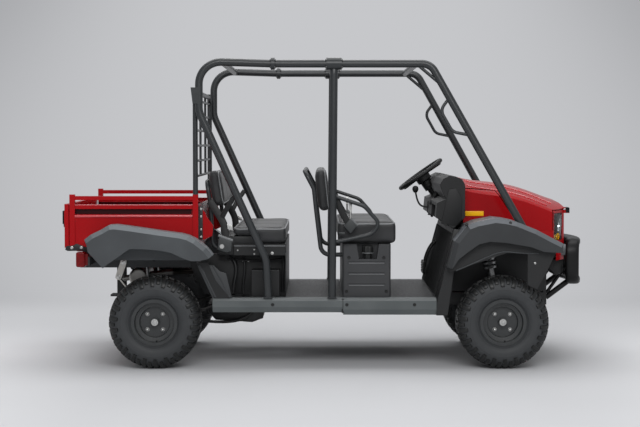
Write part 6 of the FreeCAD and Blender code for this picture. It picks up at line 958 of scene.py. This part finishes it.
gauge, face = dash_at(0.06, 1.06), np.array([-0.92, 0, 0.38])
hood_ring = [(-0.03, 0.060), (0.010, 0.060), (0.022, 0.066), (0.028, 0.063), (0.026, 0.057), (0.008, 0.054),
             (0.004, 0.050)]
socket = [(-0.01, 0.016), (0.004, 0.016), (0.007, 0.013), (0.005, 0.008), (0.004, 0.001)]
cheek = [(0.705, 0.905), (0.800, 0.893), (0.835, 0.93), (0.838, 1.06), (0.80, 1.13), (0.752, 1.12), (0.730, 1.02)]
piece("dash_trim", [
    lathe(gauge, face, hood_ring, 40), *[lathe(dash_at(y, 1.02), (-0.95, 0, 0.3), socket, 24) for y in (-0.06, -0.12)],
    *pair(slab(cheek, 0.598, 0.604, 1, 0.003))], dash_plastic)
dial = Finish("gauge_face", Coat_Weight=1.0, Coat_Roughness=0.03)
dial.shades((18, 19, 20), (210, 212, 212), dial.cells(0.012).above(0.62, 0.66), 0.3, 0.1, 0.02)
piece("gauge_dial", [lathe(gauge, face, [(0.004, 0.051), (0.010, 0.051), (0.0105, 0.03), (0.0105, 0.001)], 40),
                     lathe(gauge, face, [(0.0104, 0.004), (0.016, 0.004), (0.0165, 0.0005)], 16)], dial)
lever = dash_at(0.16, 0.98)
stem = lever + np.array([(0.01, 0, 0), (-0.05, 0, 0), (-0.075, 0, 0.05), (-0.085, 0, 0.11)])
knob = [(-0.004, 0.009), (0.006, 0.017), (0.02, 0.022), (0.036, 0.018), (0.043, 0.007), (0.044, 0.001)]
piece("gear_lever", [
    tube(flow(stem, 30), 0.006), lathe(lever + [-0.085, 0, 0.10], (0, 0, 1), knob, 24),
    block(lever + [-0.006, -0.03, -0.04], lever + [0.012, 0.03, 0.04], 0.006, 0)], black_cap, "grip")
pedals = []
for y, wide in ((0.27, 0.045), (0.39, 0.026)):
    pedals += [tube(flow([(0.742, y, 0.745), (0.700, y, 0.70), (0.668, y, 0.62), (0.664, y, 0.565)], 24), 0.007),
               block((0.648, y - wide, 0.515), (0.662, y + wide, 0.605), 0.006, 0)]
    pedals += [block((0.6445, y - wide * 0.85, z), (0.650, y + wide * 0.85, z + 0.008), 0.002, 0)
               for z in (0.528, 0.546, 0.564, 0.582)]
piece("pedals", pedals, black_cap, "grip")
slope = np.array([0.115, 0, 0.428]) / np.hypot(0.115, 0.428)
ribs = []
for y in np.linspace(-0.57, 0.57, 20):
    foot = np.array([0.664, y, 0.449])
    ribs.append(tube([foot + slope * run for run in (0.01, 0.2, 0.41)], 0.005, 6))
piece("toe_board_ribs", ribs, black_plastic)


# ---- Fuel cap ----
# A screw cap in black plastic with a fluted grip, on the neck of the tank under the front bench.
def fluted(centre, outline, flutes=12, depth=0.06, painted_side_light=96):
    """A turned form on an upright axis whose radius is waved: 1 + depth x cosine of `flutes` times the turn."""
    turn = np.arange(painted_side_light) * 2 * pi / painted_side_light
    outline = np.asarray(outline)
    radius = outline[:, 1:] * (1 + depth * np.cos(flutes * turn)[None, :] * (outline[:, 1:] > 0.02))
    rings = np.empty((len(outline), painted_side_light, 3))
    rings[..., 0] = centre[0] + radius * np.cos(turn)
    rings[..., 1] = centre[1] + radius * np.sin(turn)
    rings[..., 2] = centre[2] + outline[:, :1]
    return closed(rings)


grip = [(0, 0.024), (0.034, 0.024), (0.037, 0.033), (0.074, 0.0335), (0.081, 0.030), (0.083, 0.022), (0.083, 0.001)]
collar = [(0, 0.022), (0, 0.0355), (0.004, 0.0365), (0.006, 0.034), (0.006, 0.022)]
cap = piece("fuel_cap_grip", [fluted((0.246, -0.555, 0.682), grip, 12, 0.035)], black_cap, fold=50)
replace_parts(cap, "fuel_cap")
# Painted highlight: the collar's pale grey stands for light on the cap's rim.
piece("fuel_cap_collar", [lathe((0.246, -0.555, 0.716), (0, 0, 1), collar, 40)], highlight_edge)


# ---- Seat belts ----
# Black woven webbing with a reel in a grey plastic case at each end of both benches, a plated tongue and
# a buckle. The belts hang slack.
def strap(path, wide=0.023, thick=0.0016):
    """Flat webbing along a path in the side view: a thin rounded section, wide across the path."""
    path = np.asarray(path, float)
    run = unit(np.gradient(path, axis=0))
    across = unit(np.cross(run, [0, 1, 0]))
    out = np.cross(across, run)
    section = np.array([(1, 0), (0.94, 1), (0, 1), (-0.94, 1), (-1, 0), (-0.94, -1), (0, -1), (0.94, -1)])
    return closed(path[:, None] + wide * section[None, :, :1] * across[:, None]
                  + thick * section[None, :, 1:] * out[:, None])


webbing = Finish("black_webbing", Sheen_Weight=0.2, Sheen_Roughness=0.4)
ahead, left, high = webbing.axes()
weave = ((ahead + high) * 900).sine() * ((ahead - high) * 900).sine() * 0.5 + 0.5
webbing.varies(Base_Color=webbing.mix(srgb(15, 16, 16), srgb(34, 35, 36), weave), Roughness=weave * 0.2 + 0.5)
webbing.relief(weave, 0.0004, strength=0.6)
reel_plastic = moulded("reel_plastic", (48, 51, 52), (58, 61, 62), 0.4, top_light=(110, 114, 116))
piece("belt_webbing", pair(
    strap(flow([(-0.752, 0.552, 1.045), (-0.705, 0.566, 0.980), (-0.662, 0.578, 0.915), (-0.648, 0.580, 0.860),
                (-0.650, 0.580, 0.800)], 30)),
    strap(flow([(-0.590, 0.654, 1.075), (-0.615, 0.640, 1.040), (-0.650, 0.605, 0.985), (-0.668, 0.588, 0.948)], 30),
          0.016),
    strap(flow([(0.046, 0.636, 1.062), (0.070, 0.628, 1.000), (0.100, 0.612, 0.945), (0.130, 0.604, 0.895)], 24),
          0.020)), webbing, "seat_vinyl", fold=60)
piece("belt_reels", pair(
    slab([(-0.689, 0.825), (-0.607, 0.796), (-0.614, 0.733), (-0.640, 0.722), (-0.702, 0.742)], 0.560, 0.596, 1, 0.005),
    slab([(0.137, 0.940), (0.180, 0.893), (0.137, 0.842), (0.095, 0.890)], 0.590, 0.622, 1, 0.006),
    block((0.064, 0.596, 0.838), (0.102, 0.612, 0.850), 0.003)), reel_plastic)
# Painted highlight: the reel caps are pale grey where their rounded tops catch the lamps.
piece("belt_reel_caps", pair(
    tube([(-0.694, 0.590, 0.830), (-0.650, 0.590, 0.815), (-0.604, 0.590, 0.799)], 0.009),
    tube([(0.139, 0.615, 0.941), (0.160, 0.615, 0.918), (0.181, 0.615, 0.895)], 0.006)), highlight_edge)
piece("belt_tongues", pair(
    slab([(-0.640, 0.905), (-0.606, 0.893), (-0.603, 0.862), (-0.636, 0.872)], 0.590, 0.594, 1, 0.001),
    slab([(0.126, 1.034), (0.147, 1.034), (0.144, 0.980), (0.129, 0.980)], 0.606, 0.609, 1, 0.001),
    tube([(0.137, 0.606, 0.925), (0.137, 0.607, 0.95), (0.137, 0.607, 0.985)], 0.007, 12),
    lathe((-0.672, 0.596, 0.762), (0, 1, 0), [(-0.002, 0.009), (-0.002, 0.015), (0.003, 0.014), (0.003, 0.010)], 24)),
    plated, "bare_steel")
